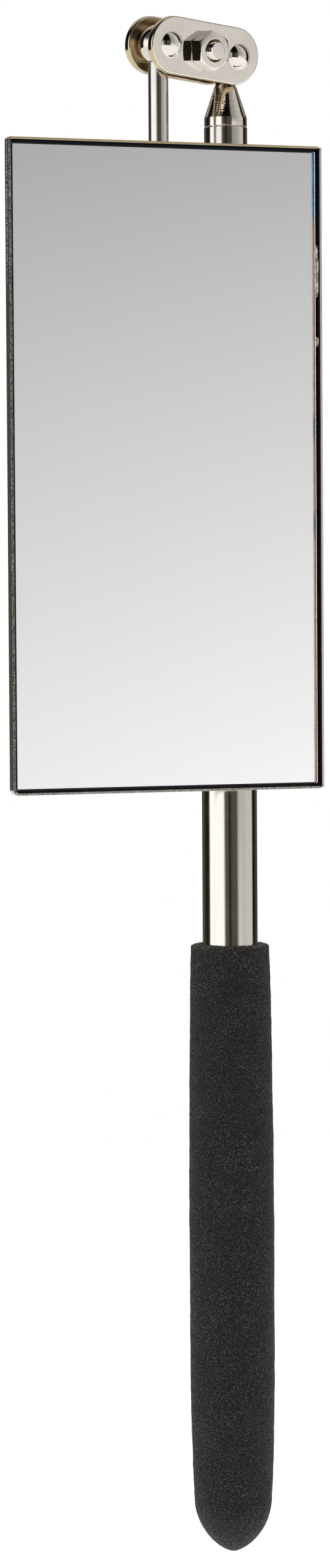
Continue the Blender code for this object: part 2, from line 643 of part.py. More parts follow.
def make_link(skin, parent):
    """Plates, bolt and nut; returns the link's frame, origin at the lower ball."""
    link = empty("link_pivot", (0, 0, 0), (LINK_ROLL, LINK_TILT, LINK_YAW), parent)
    make_plate("front_link_plate", -1, skin["nickel"], link)
    make_plate("back_link_plate", 1, skin["nickel"], link)
    bolt = empty("bolt_axis", (-LINK_PITCH / 2, 0, 0), parent=link)
    make_bolt(skin["nickel"], bolt)
    seat = -PLATE_GAP / 2 - PLATE_THICKNESS - SEAT_GAP
    nut = empty("nut_pivot", (-LINK_PITCH / 2, seat, 0), parent=link)
    make_nut(skin["nickel"], nut)
    return link


def make_mirror(skin, parent):
    """Stem, saddle, tray and glass about the stem's axis."""
    make_stem(skin["steel"], parent)
    make_saddle(skin["tray"], parent)
    centre = Vector((0, tray_back(), TRAY_BOTTOM + TRAY_HEIGHT / 2 - stem_ball_centre().z))
    make_tray(skin["tray"], parent, centre)
    depth = TRAY_SHEET + LAYER_GAP
    pad = (GLASS_WIDTH - 2 * PAD_MARGIN, GLASS_HEIGHT - 2 * PAD_MARGIN)
    make_pane("adhesive_pad", pad, PAD_CORNER_ROUND, 0, PAD_THICKNESS, depth, skin["pad"],
              parent, centre)
    depth += PAD_THICKNESS + LAYER_GAP
    coat = (GLASS_WIDTH - 2 * COAT_MARGIN, GLASS_HEIGHT - 2 * COAT_MARGIN)
    make_pane("mirror_silvering", coat, GLASS_CORNER_ROUND, 0, COAT_THICKNESS, depth,
              skin["silvering"], parent, centre)
    depth += COAT_THICKNESS + LAYER_GAP
    make_pane("mirror_glass", (GLASS_WIDTH, GLASS_HEIGHT), GLASS_CORNER_ROUND, GLASS_EDGE_GRIND,
              GLASS_THICKNESS, depth, skin["glass"], parent, centre)
    for name, (height, length) in GLUE_BEADS.items():
        make_glue_bead(name, height, length, skin["sealant"], parent, centre)


def main():
    clear_scene()
    skin = make_materials()
    handle = make_handle(skin)
    middle_tube = (MIDDLE_RADIUS, MIDDLE_WALL, MIDDLE_FOOT, MIDDLE_MOUTH)
    middle = make_section("middle", middle_tube, INNER_RADIUS, HANDLE_RADIUS - HANDLE_WALL,
                          MIDDLE_WAIST, skin, handle)
    inner_tube = (INNER_RADIUS, INNER_WALL, INNER_FOOT, INNER_MOUTH)
    inner = make_section("inner", inner_tube, None, MIDDLE_RADIUS - MIDDLE_WALL,
                         INNER_WAIST, skin, middle)
    make_nose_stud(skin["nickel"], inner)
    neck = empty("neck_twist", (0, 0, LINK_HEIGHT), parent=inner)
    make_ball("lower_ball", skin["steel"], neck)
    make_link(skin, neck)
    mirror = empty("mirror_pivot", stem_ball_centre() - neck.location, parent=neck)
    make_ball("upper_ball", skin["steel"], mirror)
    make_mirror(skin, mirror)


main()
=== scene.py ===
import json
from math import atan2, cos, hypot, pi, radians, sin, sqrt, tan

import bmesh
import bpy
from mathutils import Matrix, Vector, noise


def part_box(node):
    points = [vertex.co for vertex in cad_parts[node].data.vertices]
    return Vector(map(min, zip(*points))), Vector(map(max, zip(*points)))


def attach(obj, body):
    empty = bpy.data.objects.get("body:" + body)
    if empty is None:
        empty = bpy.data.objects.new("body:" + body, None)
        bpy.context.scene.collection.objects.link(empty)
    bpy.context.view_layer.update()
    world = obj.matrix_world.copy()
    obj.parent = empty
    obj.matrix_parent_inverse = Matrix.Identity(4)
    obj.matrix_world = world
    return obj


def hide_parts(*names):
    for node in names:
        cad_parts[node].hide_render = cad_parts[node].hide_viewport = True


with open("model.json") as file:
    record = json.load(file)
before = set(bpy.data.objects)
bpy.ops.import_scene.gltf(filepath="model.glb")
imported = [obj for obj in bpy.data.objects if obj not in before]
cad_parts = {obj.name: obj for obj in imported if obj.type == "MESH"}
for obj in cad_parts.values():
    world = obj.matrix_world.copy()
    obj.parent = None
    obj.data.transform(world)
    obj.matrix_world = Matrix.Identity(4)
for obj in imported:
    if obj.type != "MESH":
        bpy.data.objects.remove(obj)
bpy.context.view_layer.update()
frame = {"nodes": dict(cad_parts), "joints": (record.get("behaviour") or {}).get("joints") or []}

MM = 0.001
FINE, MEDIUM = 128, 96  # segments around a turned piece, and around a small one
WELD = 1e-7  # vertices closer than this, in metres, become one
NODES = frame["nodes"]
JOINTS = {joint["name"]: joint for joint in frame["joints"]}

# Camera: left of the mirror's normal, a little above the tool's middle, looking slightly down
CAMERA_AZIMUTH = radians(21.07)
CAMERA_DISTANCE = 682.4 * MM
CAMERA_HEIGHT = 157.9 * MM
CAMERA_SIDESTEP = -10.4 * MM
CAMERA_PITCH = radians(2.74)
CAMERA_ROLL = radians(0.37)
CAMERA_LENS = 97.03

TOWARDS_CAMERA = Vector((-sin(CAMERA_AZIMUTH), -cos(CAMERA_AZIMUTH), 0))
CAMERA_RIGHT = Vector((cos(CAMERA_AZIMUTH), -sin(CAMERA_AZIMUTH), 0))


# Shape helpers ----------


def piece(name, bm, body, materials, nodes=(), place=None, sharp=32, weighted=False):
    """Make a bmesh a shown piece that rides on a CAD body and stands for CAD nodes."""
    bmesh.ops.remove_doubles(bm, verts=bm.verts, dist=WELD)
    bmesh.ops.recalc_face_normals(bm, faces=bm.faces)
    mesh = bpy.data.meshes.new(name)
    bm.to_mesh(mesh)
    bm.free()
    mesh.shade_smooth()
    mesh.set_sharp_from_angle(angle=radians(sharp))
    obj = bpy.data.objects.new(name, mesh)
    bpy.context.scene.collection.objects.link(obj)
    obj.matrix_world = place or Matrix.Identity(4)
    for material in materials:
        mesh.materials.append(material)
    if weighted:
        modifier = obj.modifiers.new("flat_faces", "WEIGHTED_NORMAL")
        modifier.keep_sharp = True
    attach(obj, body)
    if nodes:
        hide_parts(*nodes)
    return obj


def turned(outline, segments=FINE):
    """A bmesh turned about Z from a closed outline of (radius, height) points."""
    bm = bmesh.new()
    ring = [bm.verts.new((r, 0.0, z)) for r, z in outline]
    edges = [bm.edges.new((a, b)) for a, b in zip(ring, ring[1:] + ring[:1])]
    on_axis = [e for e in edges if all(abs(v.co.x) < WELD for v in e.verts)]
    bmesh.ops.delete(bm, geom=on_axis, context="EDGES_FACES")
    bmesh.ops.spin(
        bm, geom=bm.verts[:] + bm.edges[:], cent=(0, 0, 0), axis=(0, 0, 1),
        angle=2 * pi, steps=segments, use_duplicate=False,
    )
    return bm


def arc(centre, radius, start, stop, steps):
    """Points on an arc, both ends included; angles from the first axis to the second."""
    turns = [start + (stop - start) * n / steps for n in range(steps + 1)]
    return [(centre[0] + radius * cos(t), centre[1] + radius * sin(t)) for t in turns]


def extruded(outline, depth):
    """A bmesh prism: an outline of (x, z) points, extruded along +Y by depth."""
    bm = bmesh.new()
    face = bm.faces.new([bm.verts.new((x, 0.0, z)) for x, z in outline])
    moved = bmesh.ops.extrude_face_region(bm, geom=[face])["geom"]
    corners = [v for v in moved if isinstance(v, bmesh.types.BMVert)]
    bmesh.ops.translate(bm, verts=corners, vec=(0, depth, 0))
    return bm


def along_y(bm, outward=1):
    """Lay a bmesh turned about Z down along +Y, or along -Y where outward is -1."""
    turn = Matrix.Rotation(-outward * pi / 2, 3, "X")
    bmesh.ops.rotate(bm, verts=bm.verts, cent=(0, 0, 0), matrix=turn)
    return bm


def moved(bm, x=0.0, y=0.0, z=0.0):
    bmesh.ops.translate(bm, verts=bm.verts, vec=(x, y, z))
    return bm


def join_rings(bm, rings):
    """Faces between each closed ring of vertices and the next."""
    for low, high in zip(rings, rings[1:]):
        for k in range(len(low)):
            j = (k + 1) % len(low)
            bm.faces.new((low[k], low[j], high[j], high[k]))


def round_edges(bm, width, segments, chosen):
    """Round the edges that the test picks."""
    bmesh.ops.recalc_face_normals(bm, faces=bm.faces)
    bmesh.ops.bevel(
        bm, geom=[e for e in bm.edges if chosen(e)], offset=width, offset_type="OFFSET",
        segments=segments, profile=0.5, affect="EDGES", clamp_overlap=True,
    )
    return bm


def on_flat_faces(edge):
    """An edge that lies in a plane of constant Y, as a plate's outline does."""
    return abs(edge.verts[0].co.y - edge.verts[1].co.y) < WELD


def combined(first, second, operation):
    """The exact Boolean of two bmeshes as a new bmesh."""
    tools = []
    for name, bm in (("boolean_base", first), ("boolean_tool", second)):
        bmesh.ops.remove_doubles(bm, verts=bm.verts, dist=WELD)
        bmesh.ops.recalc_face_normals(bm, faces=bm.faces)
        mesh = bpy.data.meshes.new(name)
        bm.to_mesh(mesh)
        bm.free()
        tool = bpy.data.objects.new(name, mesh)
        bpy.context.scene.collection.objects.link(tool)
        tools.append(tool)
    modifier = tools[0].modifiers.new("boolean", "BOOLEAN")
    modifier.operation = operation
    modifier.solver = "EXACT"
    modifier.object = tools[1]
    bpy.context.view_layer.update()
    result = bmesh.new()
    result.from_object(tools[0], bpy.context.evaluated_depsgraph_get())
    for tool in tools:
        mesh = tool.data
        bpy.data.objects.remove(tool)
        bpy.data.meshes.remove(mesh)
    return result


# Materials: scales are per metre, colours are linear red, green and blue ----------


class Nodes:
    """A node tree, with short calls that add nodes to it."""

    def __init__(self, tree):
        self.tree = tree

    def set(self, node, socket, value):
        if isinstance(value, bpy.types.NodeSocket):
            self.tree.links.new(value, node.inputs[socket])
        elif isinstance(value, tuple) and len(value) == 3 and node.inputs[socket].type == "RGBA":
            node.inputs[socket].default_value = (*value, 1.0)
        else:
            node.inputs[socket].default_value = value

    def node(self, kind, inputs=None, **settings):
        made = self.tree.nodes.new(kind)
        for key, value in settings.items():
            setattr(made, key, value)
        for socket, value in (inputs or {}).items():
            self.set(made, socket, value)
        return made

    def math(self, operation, a, b=0.0):
        return self.node("ShaderNodeMath", {0: a, 1: b}, operation=operation).outputs[0]

    def mix(self, factor, a, b):
        return self.node("ShaderNodeMix", {0: factor, 6: a, 7: b}, data_type="RGBA").outputs[2]

    def ramp(self, value, stops):
        """A ColorRamp over stops of (position, colour), with a number standing for a grey."""
        made = self.node("ShaderNodeValToRGB", {0: value})
        elements = made.color_ramp.elements
        while len(elements) < len(stops):
            elements.new(0.5)
        for element, (position, colour) in zip(elements, stops):
            element.position = position
            element.color = (*colour, 1.0) if isinstance(colour, tuple) else (*[colour] * 3, 1.0)
        return made.outputs[0]


class Paint(Nodes):
    """A material being made around its Principled shader."""

    def __init__(self, name, **sockets):
        self.material = bpy.data.materials.new(name)
        self.material.use_nodes = True
        super().__init__(self.material.node_tree)
        self.shader = self.tree.nodes["Principled BSDF"]
        self.wear(**sockets)
        self.place = self.node("ShaderNodeTexCoord").outputs["Object"]

    def stretched(self, x, y, z):
        """Object coordinates scaled axis by axis, for grain that runs one way."""
        return self.node("ShaderNodeMapping", {"Vector": self.place, "Scale": (x, y, z)}).outputs[0]

    def noise(self, scale, detail=3.0, roughness=0.55, vector=None):
        inputs = {"Vector": vector or self.place, "Scale": scale, "Detail": detail,
                  "Roughness": roughness}
        return self.node("ShaderNodeTexNoise", inputs).outputs["Fac"]

    def cells(self, scale):
        inputs = {"Vector": self.place, "Scale": scale}
        return self.node("ShaderNodeTexVoronoi", inputs).outputs["Distance"]

    def spread(self, value, low, high, to_low=0.0, to_high=1.0):
        """Map low..high of a value onto to_low..to_high, clamped."""
        inputs = {"Value": value, "From Min": low, "From Max": high, "To Min": to_low,
                  "To Max": to_high}
        return self.node("ShaderNodeMapRange", inputs).outputs["Result"]

    def bump(self, height, strength, distance, normal=None):
        inputs = {"Height": height, "Strength": strength, "Distance": distance}
        if normal:
            inputs["Normal"] = normal
        return self.node("ShaderNodeBump", inputs).outputs[0]

    def wear(self, **sockets):
        """Feed the shader's sockets and hand over the finished material."""
        for socket, value in sockets.items():
            self.set(self.shader, socket.replace("_", " "), value)
        return self.material


def foam_material():
    """Black foam: pale grains and open pores, and a paler cut face at the mouth."""
    paint = Paint("black_foam", Specular_IOR_Level=0.4)
    blotch = paint.noise(160.0, 3.0)
    grain = paint.noise(4300.0, 2.0, 0.6)
    pores = paint.cells(2400.0)
    pale = paint.math("MULTIPLY", paint.spread(grain, 0.52, 0.72),
                      paint.spread(blotch, 0.35, 0.65, 0.40, 1.0))
    skin = paint.mix(pale, (0.0030, 0.0030, 0.0030), (0.105, 0.104, 0.100))
    cut = paint.node("ShaderNodeAttribute", attribute_name="cut_face").outputs["Fac"]
    paler = paint.mix(paint.math("MULTIPLY", cut, paint.spread(grain, 0.40, 0.60)), skin,
                      (0.30, 0.29, 0.27))
    coarse = paint.bump(pores, 0.6, 0.15 * MM)
    fine = paint.bump(grain, 1.0, 0.22 * MM, coarse)
    return paint.wear(Base_Color=paler, Roughness=paint.spread(grain, 0.35, 0.7, 0.85, 0.42),
                      Normal=fine)


def metal_material(name, colour, roughness, run=(900.0, 900.0, 14.0), depth=0.002, spots=0.0):
    """Bright metal whose fine lines run along the axis with the smallest scale in run. depth
    is their bump in millimetres, and spots is how strongly dark pits show."""
    paint = Paint(name, Metallic=1.0)
    lines = paint.noise(1.0, 5.0, 0.65, paint.stretched(*run))
    cloud = paint.noise(260.0, 3.0)
    dark = tuple(0.86 * c for c in colour)
    tone = paint.mix(paint.spread(lines, 0.35, 0.7), colour, dark)
    if spots:
        pits = paint.spread(paint.cells(1500.0), 0.02, 0.09, spots, 0.0)
        tone = paint.mix(pits, tone, (0.25, 0.22, 0.19))
    rough = paint.math("ADD", paint.spread(lines, 0.3, 0.7, 0.75 * roughness, 1.2 * roughness),
                       paint.spread(cloud, 0.35, 0.7, 0.0, 0.3 * roughness))
    return paint.wear(Base_Color=tone, Roughness=rough, Normal=paint.bump(lines, 0.35, depth * MM))


def turned_nickel_material():
    """Nickel over lathe marks: rings about the axis, finer than the cut grooves."""
    paint = Paint("turned_nickel", Metallic=1.0)
    rings = paint.noise(1.0, 4.0, 0.6, paint.stretched(30.0, 30.0, 5200.0))
    haze = paint.noise(300.0, 3.0)
    tone = paint.mix(paint.spread(rings, 0.35, 0.7), (0.78, 0.73, 0.67), (0.60, 0.55, 0.50))
    return paint.wear(Base_Color=tone, Roughness=paint.spread(haze, 0.3, 0.7, 0.07, 0.16),
                      Normal=paint.bump(rings, 0.4, 0.004 * MM))


def glass_material():
    paint = Paint("clear_plate_glass", Base_Color=(0.985, 0.985, 0.985),
                  Transmission_Weight=1.0, IOR=1.52)
    smear = paint.noise(90.0, 3.0)
    return paint.wear(Roughness=paint.spread(smear, 0.45, 0.8, 0.0, 0.010))


def speckled_material(name, dark, light, share, glow=0.0):
    """Rough edge: light specks on a dark ground, more of them as share goes from 0 to 1. The
    glow stands in for light that the pane gathers at its edge."""
    paint = Paint(name, Emission_Strength=glow)
    chips = paint.noise(1.0, 3.0, 0.7, paint.stretched(8000.0, 8000.0, 4000.0))
    middle = 0.62 - 0.24 * share
    tone = paint.mix(paint.spread(chips, middle - 0.04, middle + 0.04), dark, light)
    return paint.wear(Base_Color=tone, Emission_Color=tone,
                      Roughness=paint.spread(chips, 0.4, 0.6, 0.55, 0.3),
                      Normal=paint.bump(chips, 0.6, 0.02 * MM))


PANE_GLOW = 0.30
BLUE_FOOT, BLUE_FULL, BLUE_DRIFT = 38 * MM, 42 * MM, 3 * MM


def backing_paint_material():
    """Pinkish brown paint behind the silver and on the pane's sides, with a blue patch
    near the top and dark smudges. Its glow stands in for light carried inside the pane."""
    paint = Paint("backing_paint", IOR=1.5, Emission_Strength=PANE_GLOW)
    height = paint.node("ShaderNodeSeparateXYZ", {"Vector": paint.place}).outputs["Z"]
    drift = paint.spread(paint.noise(260.0), 0.3, 0.7, -BLUE_DRIFT, BLUE_DRIFT)
    blue = paint.spread(paint.math("ADD", height, drift), BLUE_FOOT, BLUE_FULL)
    streaks = paint.noise(1.0, 4.0, 0.6, paint.stretched(2500.0, 2500.0, 350.0))
    smudge = paint.spread(paint.noise(42.0, 2.0), 0.54, 0.62)
    warm = paint.mix(paint.spread(streaks, 0.35, 0.7), (0.80, 0.50, 0.38), (0.48, 0.30, 0.23))
    warm = paint.mix(smudge, warm, (0.05, 0.05, 0.055))
    cold = paint.mix(paint.spread(streaks, 0.4, 0.65), (0.07, 0.42, 0.78), (0.03, 0.13, 0.28))
    tone = paint.mix(blue, warm, cold)
    return paint.wear(Base_Color=tone, Emission_Color=tone,
                      Roughness=paint.spread(streaks, 0.3, 0.7, 0.4, 0.6),
                      Normal=paint.bump(streaks, 0.3, 0.02 * MM))


# The painted highlight, a bright line on the tray's left wall, from the tray's middle: where it
# fades in or out across the outer face, upwards, and on both sides of its line
SHEEN_FACE, SHEEN_HEIGHT = (-26.45 * MM, -26.35 * MM), (26 * MM, 34 * MM)
SHEEN_FRONT, SHEEN_BACK = (-1.45 * MM, -1.25 * MM), (-1.10 * MM, -0.90 * MM)


def tray_material():
    """Sheet steel, with a painted highlight: a broken bright line along the upper left wall."""
    paint = Paint("bright_sheet_steel", Metallic=1.0)
    grain = paint.noise(1.0, 5.0, 0.65, paint.stretched(700.0, 700.0, 90.0))
    parts = paint.node("ShaderNodeSeparateXYZ", {"Vector": paint.place}).outputs
    outside = paint.spread(parts["X"], *SHEEN_FACE, 1.0, 0.0)
    upper = paint.spread(parts["Z"], *SHEEN_HEIGHT)
    middle = paint.math("MULTIPLY", paint.spread(parts["Y"], *SHEEN_FRONT),
                        paint.spread(parts["Y"], *SHEEN_BACK, 1.0, 0.0))
    dashes = paint.noise(1.0, 2.0, 0.6, paint.stretched(900.0, 900.0, 4200.0))
    dashes = paint.spread(dashes, 0.45, 0.55)
    # painted highlight: a broken pale line on the left wall's outer face, rougher than the steel
    # around it
    painted_sheen = paint.math("MULTIPLY", paint.math("MULTIPLY", outside, upper),
                       paint.math("MULTIPLY", middle, dashes))
    tone = paint.mix(paint.spread(grain, 0.35, 0.7), (0.62, 0.59, 0.55), (0.46, 0.43, 0.39))
    tone = paint.mix(painted_sheen, tone, (0.97, 0.92, 0.90))
    rough = paint.math("ADD", paint.spread(grain, 0.3, 0.7, 0.16, 0.30),
                       paint.math("MULTIPLY", painted_sheen, 0.5))
    return paint.wear(Base_Color=tone, Roughness=rough, Normal=paint.bump(grain, 0.2, 0.002 * MM))


def silver_material():
    paint = Paint("silvering", Metallic=1.0)
    cloud = paint.noise(60.0, 2.0)
    tone = paint.mix(cloud, (0.955, 0.955, 0.955), (0.94, 0.94, 0.94))
    return paint.wear(Base_Color=tone, Roughness=paint.spread(cloud, 0.3, 0.7, 0.0, 0.008))


def sealant_material():
    """Cloudy sealant: milky patches between clearer, darker ones."""
    paint = Paint("clear_sealant", IOR=1.41)
    ripple = paint.noise(1.0, 3.0, 0.6, paint.stretched(1500.0, 1500.0, 700.0))
    milky = paint.spread(ripple, 0.38, 0.54)
    return paint.wear(Base_Color=paint.mix(milky, (0.20, 0.195, 0.18), (0.95, 0.95, 0.93)),
                      Transmission_Weight=paint.spread(milky, 0.0, 1.0, 0.35, 0.1),
                      Roughness=paint.spread(ripple, 0.3, 0.7, 0.1, 0.3),
                      Normal=paint.bump(ripple, 0.7, 0.12 * MM))


def plain_material(name, colour, roughness, metallic=0.0, scale=1200.0):
    """Inner pieces: one colour with a little mottling and a matching bump."""
    paint = Paint(name, Metallic=metallic)
    mottle = paint.noise(scale, 3.0)
    dark = tuple(0.7 * c for c in colour)
    return paint.wear(Base_Color=paint.mix(paint.spread(mottle, 0.3, 0.75), colour, dark),
                      Roughness=paint.spread(mottle, 0.3, 0.7, 0.8 * roughness, 1.2 * roughness),
                      Normal=paint.bump(mottle, 0.25, 0.02 * MM))


def make_materials():
    return {
        "foam": foam_material(),
        "tube": metal_material("bright_tube_steel", (0.74, 0.715, 0.68), 0.12, spots=0.5),
        "stem": metal_material("satin_rod_steel", (0.76, 0.74, 0.72), 0.19),
        "ball": metal_material("ball_steel", (0.66, 0.63, 0.59), 0.10, (500.0,) * 3),
        "nickel": metal_material("polished_nickel", (0.82, 0.785, 0.75), 0.05, (160.0,) * 3,
                                 0.0012, 0.35),
        "turned": turned_nickel_material(),
        # dark brown nickel for recesses: a stain that also stands as painted shade in the nut's
        # countersink and bore, between the plates and in the ball seats
        "stain_and_shade": metal_material("nickel_stain_and_painted_shade", (0.42, 0.31, 0.18), 0.20, (420.0,) * 3, 0.03),
        "tray": tray_material(),
        # painted shade: near black for the tray's floor and inner walls, where the gap around the
        # glass lies in shade
        "inside": plain_material("tray_inside_painted_shade", (0.016, 0.015, 0.022), 0.45),
        "shear": metal_material("sheared_steel_edge", (0.70, 0.67, 0.61), 0.38, (1300.0,) * 3,
                                0.02),
        "glass": glass_material(),
        # painted light and shade: a bright, glowing ground edge for the right-facing bevel and a dark
        # copy for the other bevels
        "ground": speckled_material("ground_edge_painted_light", (0.15, 0.15, 0.15), (1.0, 1.0, 1.0), 0.8,
                                    0.45),
        "ground_painted_shade": speckled_material("ground_edge_painted_shade", (0.008, 0.008, 0.016),
                                        (0.07, 0.07, 0.09), 0.3),
        # painted shade: darker, non-metal copies of the sheared lip for the tray's left and bottom
        # sides
        "left_lip_shade": speckled_material("left_lip_painted_shade", (0.030, 0.028, 0.026), (0.34, 0.34, 0.33), 0.4),
        "bottom_lip_shade": speckled_material("bottom_lip_painted_shade", (0.15, 0.14, 0.13), (0.48, 0.47, 0.45), 0.5),
        "rim": metal_material("plate_rim", (0.58, 0.47, 0.30), 0.10, (300.0,) * 3, 0.003),
        "golden": metal_material("golden_lip", (0.80, 0.66, 0.42), 0.36, (1300.0,) * 3, 0.02),
        "backing": backing_paint_material(),
        "silver": silver_material(),
        "sealant": sealant_material(),
        "milky": plain_material("milky_sealant", (0.97, 0.97, 0.96), 0.3, 0.0, 700.0),
        "brass": plain_material("turned_brass", (0.72, 0.53, 0.25), 0.28, 1.0),
        "bronze": plain_material("spring_bronze", (0.60, 0.38, 0.20), 0.32, 1.0),
        "plastic": plain_material("black_plastic", (0.03, 0.03, 0.03), 0.45),
        "tape": plain_material("white_foam_tape", (0.80, 0.80, 0.76), 0.85, 0.0, 2500.0),
    }


# Studio ----------


def make_camera():
    data = bpy.data.cameras.new("photo_camera")
    data.lens = CAMERA_LENS
    data.sensor_width = 36.0
    data.clip_start = 10 * MM
    camera = bpy.data.objects.new("photo_camera", data)
    ahead = -TOWARDS_CAMERA * cos(CAMERA_PITCH) - Vector((0, 0, sin(CAMERA_PITCH)))
    up = Vector((0, 0, cos(CAMERA_PITCH))) - TOWARDS_CAMERA * sin(CAMERA_PITCH)
    axes = Matrix((CAMERA_RIGHT, up, -ahead)).transposed()
    turn = axes @ Matrix.Rotation(-CAMERA_ROLL, 3, "Z")
    at = TOWARDS_CAMERA * CAMERA_DISTANCE + CAMERA_RIGHT * CAMERA_SIDESTEP
    at.z = CAMERA_HEIGHT
    camera.matrix_world = Matrix.Translation(at) @ turn.to_4x4()
    bpy.context.scene.collection.objects.link(camera)
    bpy.context.scene.camera = camera


def make_studio():
    """White surroundings for the camera. Everything else sees a softbox on the left, a dim
    front with a dark gap, a softbox on the right whose near side fades upwards, and a lit
    ceiling behind. Bearings are degrees to the right of the camera, heights degrees up."""
    world = bpy.data.worlds.new("studio")
    world.use_nodes = True
    world.node_tree.nodes.clear()
    sky = Nodes(world.node_tree)
    direction = sky.node("ShaderNodeTexCoord").outputs["Generated"]

    def vector(operation, a, b, output="Vector"):
        return sky.node("ShaderNodeVectorMath", {0: a, 1: b}, operation=operation).outputs[output]

    ahead = vector("DOT_PRODUCT", direction, TOWARDS_CAMERA, "Value")
    aside = vector("DOT_PRODUCT", direction, CAMERA_RIGHT, "Value")
    rise = vector("DOT_PRODUCT", direction, (0, 0, 1), "Value")
    bearing = sky.math("ADD", sky.math("DIVIDE", sky.math("ARCTAN2", aside, ahead), 2 * pi), 0.5)
    height = sky.math("ADD", sky.math("DIVIDE", sky.math("ARCSINE", rise), pi), 0.5)

    def around(stops):
        return sky.ramp(bearing, [((degrees + 180) / 360, colour) for degrees, colour in stops])

    def upwards(stops):
        return sky.ramp(height, [((degrees + 90) / 180, colour) for degrees, colour in stops])

    room, front = (0.012, 0.009, 0.006), (0.100, 0.088, 0.068)
    left, right = (1.50, 1.48, 1.45), (0.81, 0.785, 0.75)
    warm, near, far = (0.95, 0.92, 0.88), 0.97, 1.10
    low, behind, ceiling = (0.08, 0.07, 0.06), (0.80, 0.74, 0.66), (0.50, 0.46, 0.42)
    left_box = around([
        (-97, room), (-88, left), (-26, left), (-20, front), (-5, front), (-3, room), (4, room),
        (6, front), (31, front), (35, 0.0),
    ])
    left_top = upwards([(14, 1.0), (30, 0.07)])
    right_box = around([
        (31, 0.0), (35, warm), (38, warm), (39.5, near), (45, far), (48, warm), (66, right),
        (104, right), (110, 0.0),
    ])
    right_top = upwards([(-3.6, 0.97), (0.2, 0.76), (6.3, 0.43), (20, 0.38)])
    near_side = around([(26, 1.0), (45, 1.0), (75, 0.35), (104, 0.1)])
    right_light = vector("MULTIPLY", right_box, sky.mix(near_side, (1, 1, 1), right_top))
    back = around([(-140, 1.0), (-120, 0.0), (122, 0.0), (140, 1.0)])
    back_top = upwards([(12, low), (26, behind), (70, ceiling)])
    back_light = vector("MULTIPLY", back, back_top)
    left_light = vector("MULTIPLY", left_box, left_top)
    total = vector("ADD", left_light, vector("ADD", right_light, back_light))
    lit = sky.node("ShaderNodeBackground", {"Color": total}).outputs[0]
    white = sky.node("ShaderNodeBackground", {"Color": (1, 1, 1)}).outputs[0]
    from_camera = sky.node("ShaderNodeLightPath").outputs["Is Camera Ray"]
    shown = sky.node("ShaderNodeMixShader", {0: from_camera, 1: lit, 2: white}).outputs[0]
    sky.node("ShaderNodeOutputWorld", {"Surface": shown})
    bpy.context.scene.world = world
    bpy.context.scene.view_settings.view_transform = "Standard"


FLOOR_HALF_SIZE, FLOOR_HEIGHT = 3.4, -0.42


def make_floor():
    """A plain pale floor well below the tool."""
    bm = bmesh.new()
    bmesh.ops.create_grid(bm, x_segments=1, y_segments=1, size=FLOOR_HALF_SIZE)
    mesh = bpy.data.meshes.new("floor")
    bm.to_mesh(mesh)
    bm.free()
    floor = bpy.data.objects.new("floor", mesh)
    floor.location = (0, 0, FLOOR_HEIGHT)
    paint = Paint("pale_floor", Base_Color=(0.9, 0.9, 0.9), Roughness=0.9,
                  Emission_Color=(1, 1, 1), Emission_Strength=0.85)
    mesh.materials.append(paint.material)
    bpy.context.scene.collection.objects.link(floor)


# Handle ----------


def node_radius(node):
    low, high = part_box(node)
    return (high.x - low.x) / 2


def heights(node):
    low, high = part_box(node)
    return low.z, high.z


GRIP_ROUND, GRIP_RINGS = 260, 420
GRIP_CROWDING = 1.15
GRIP_TIP_HEIGHT, GRIP_TIP_SHARPNESS = 9.0 * MM, 0.65
GRIP_SMOOTH_TIP = 2 * MM
GRIP_SHOULDER, GRIP_MOUTH, GRIP_MIDDLE = 0.921, 0.923, 0.523
GRIP_BORE_CLEARANCE, GRIP_ALLOWANCE = 0.05 * MM, 0.12 * MM
GRIP_RIM, GRIP_LINING = 0.75 * MM, 5 * MM
FOAM_WAVES = ((11 * MM, 0.09 * MM), (1.9 * MM, 0.05 * MM), (0.62 * MM, 0.035 * MM))


def grip_profile():
    """Smooth outer radius of the sleeve: an ogive butt, then a slight belly."""
    foot, top = heights("grip_sleeve")
    belly = node_radius("grip_sleeve") - GRIP_ALLOWANCE
    shoulder, mouth = GRIP_SHOULDER * belly, GRIP_MOUTH * belly
    middle = GRIP_MIDDLE * (top - foot)

    def radius(z):
        if z < GRIP_TIP_HEIGHT:
            return shoulder * (1 - (1 - z / GRIP_TIP_HEIGHT) ** 2) ** GRIP_TIP_SHARPNESS
        if z < middle:
            return belly - (belly - shoulder) * ((middle - z) / (middle - GRIP_TIP_HEIGHT)) ** 4
        return belly - (belly - mouth) * ((z - middle) / (top - middle)) ** 2

    return radius


def foam_offset(at):
    """How far the foam's skin stands in or out at a point."""
    return sum(depth * noise.noise(at / length) for length, depth in FOAM_WAVES)


def grip_rows():
    """The sleeve's rings as (radius, height, roughness, paleness), from the butt up, over the
    rounded rim and down into the mouth."""
    radius = grip_profile()
    top = heights("grip_sleeve")[1]
    bore = node_radius("handle_tube") + GRIP_BORE_CLEARANCE
    rim = GRIP_RIM
    rows = []
    for n in range(1, GRIP_RINGS + 1):
        z = (top - rim) * (n / GRIP_RINGS) ** GRIP_CROWDING
        rows.append((radius(z), z, 1.0, 0.0))
    outer = radius(top - rim)
    for n in range(1, 9):
        turn = pi / 2 * n / 8
        rows.append((outer - rim * (1 - cos(turn)), top - rim + rim * sin(turn), 1.2, n / 8))
    width = outer - rim - bore - 0.25 * MM
    for n in range(1, 7):
        rows.append((outer - rim - width * n / 6, top - 0.1 * MM * n / 6, 1.6, 1.0))
    return rows + [(bore + 0.1 * MM, top - 0.5 * MM, 1.2, 1.0), (bore, top - 1.2 * MM, 0.6, 0.6),
                   (bore, top - GRIP_LINING, 0.0, 0.0)]


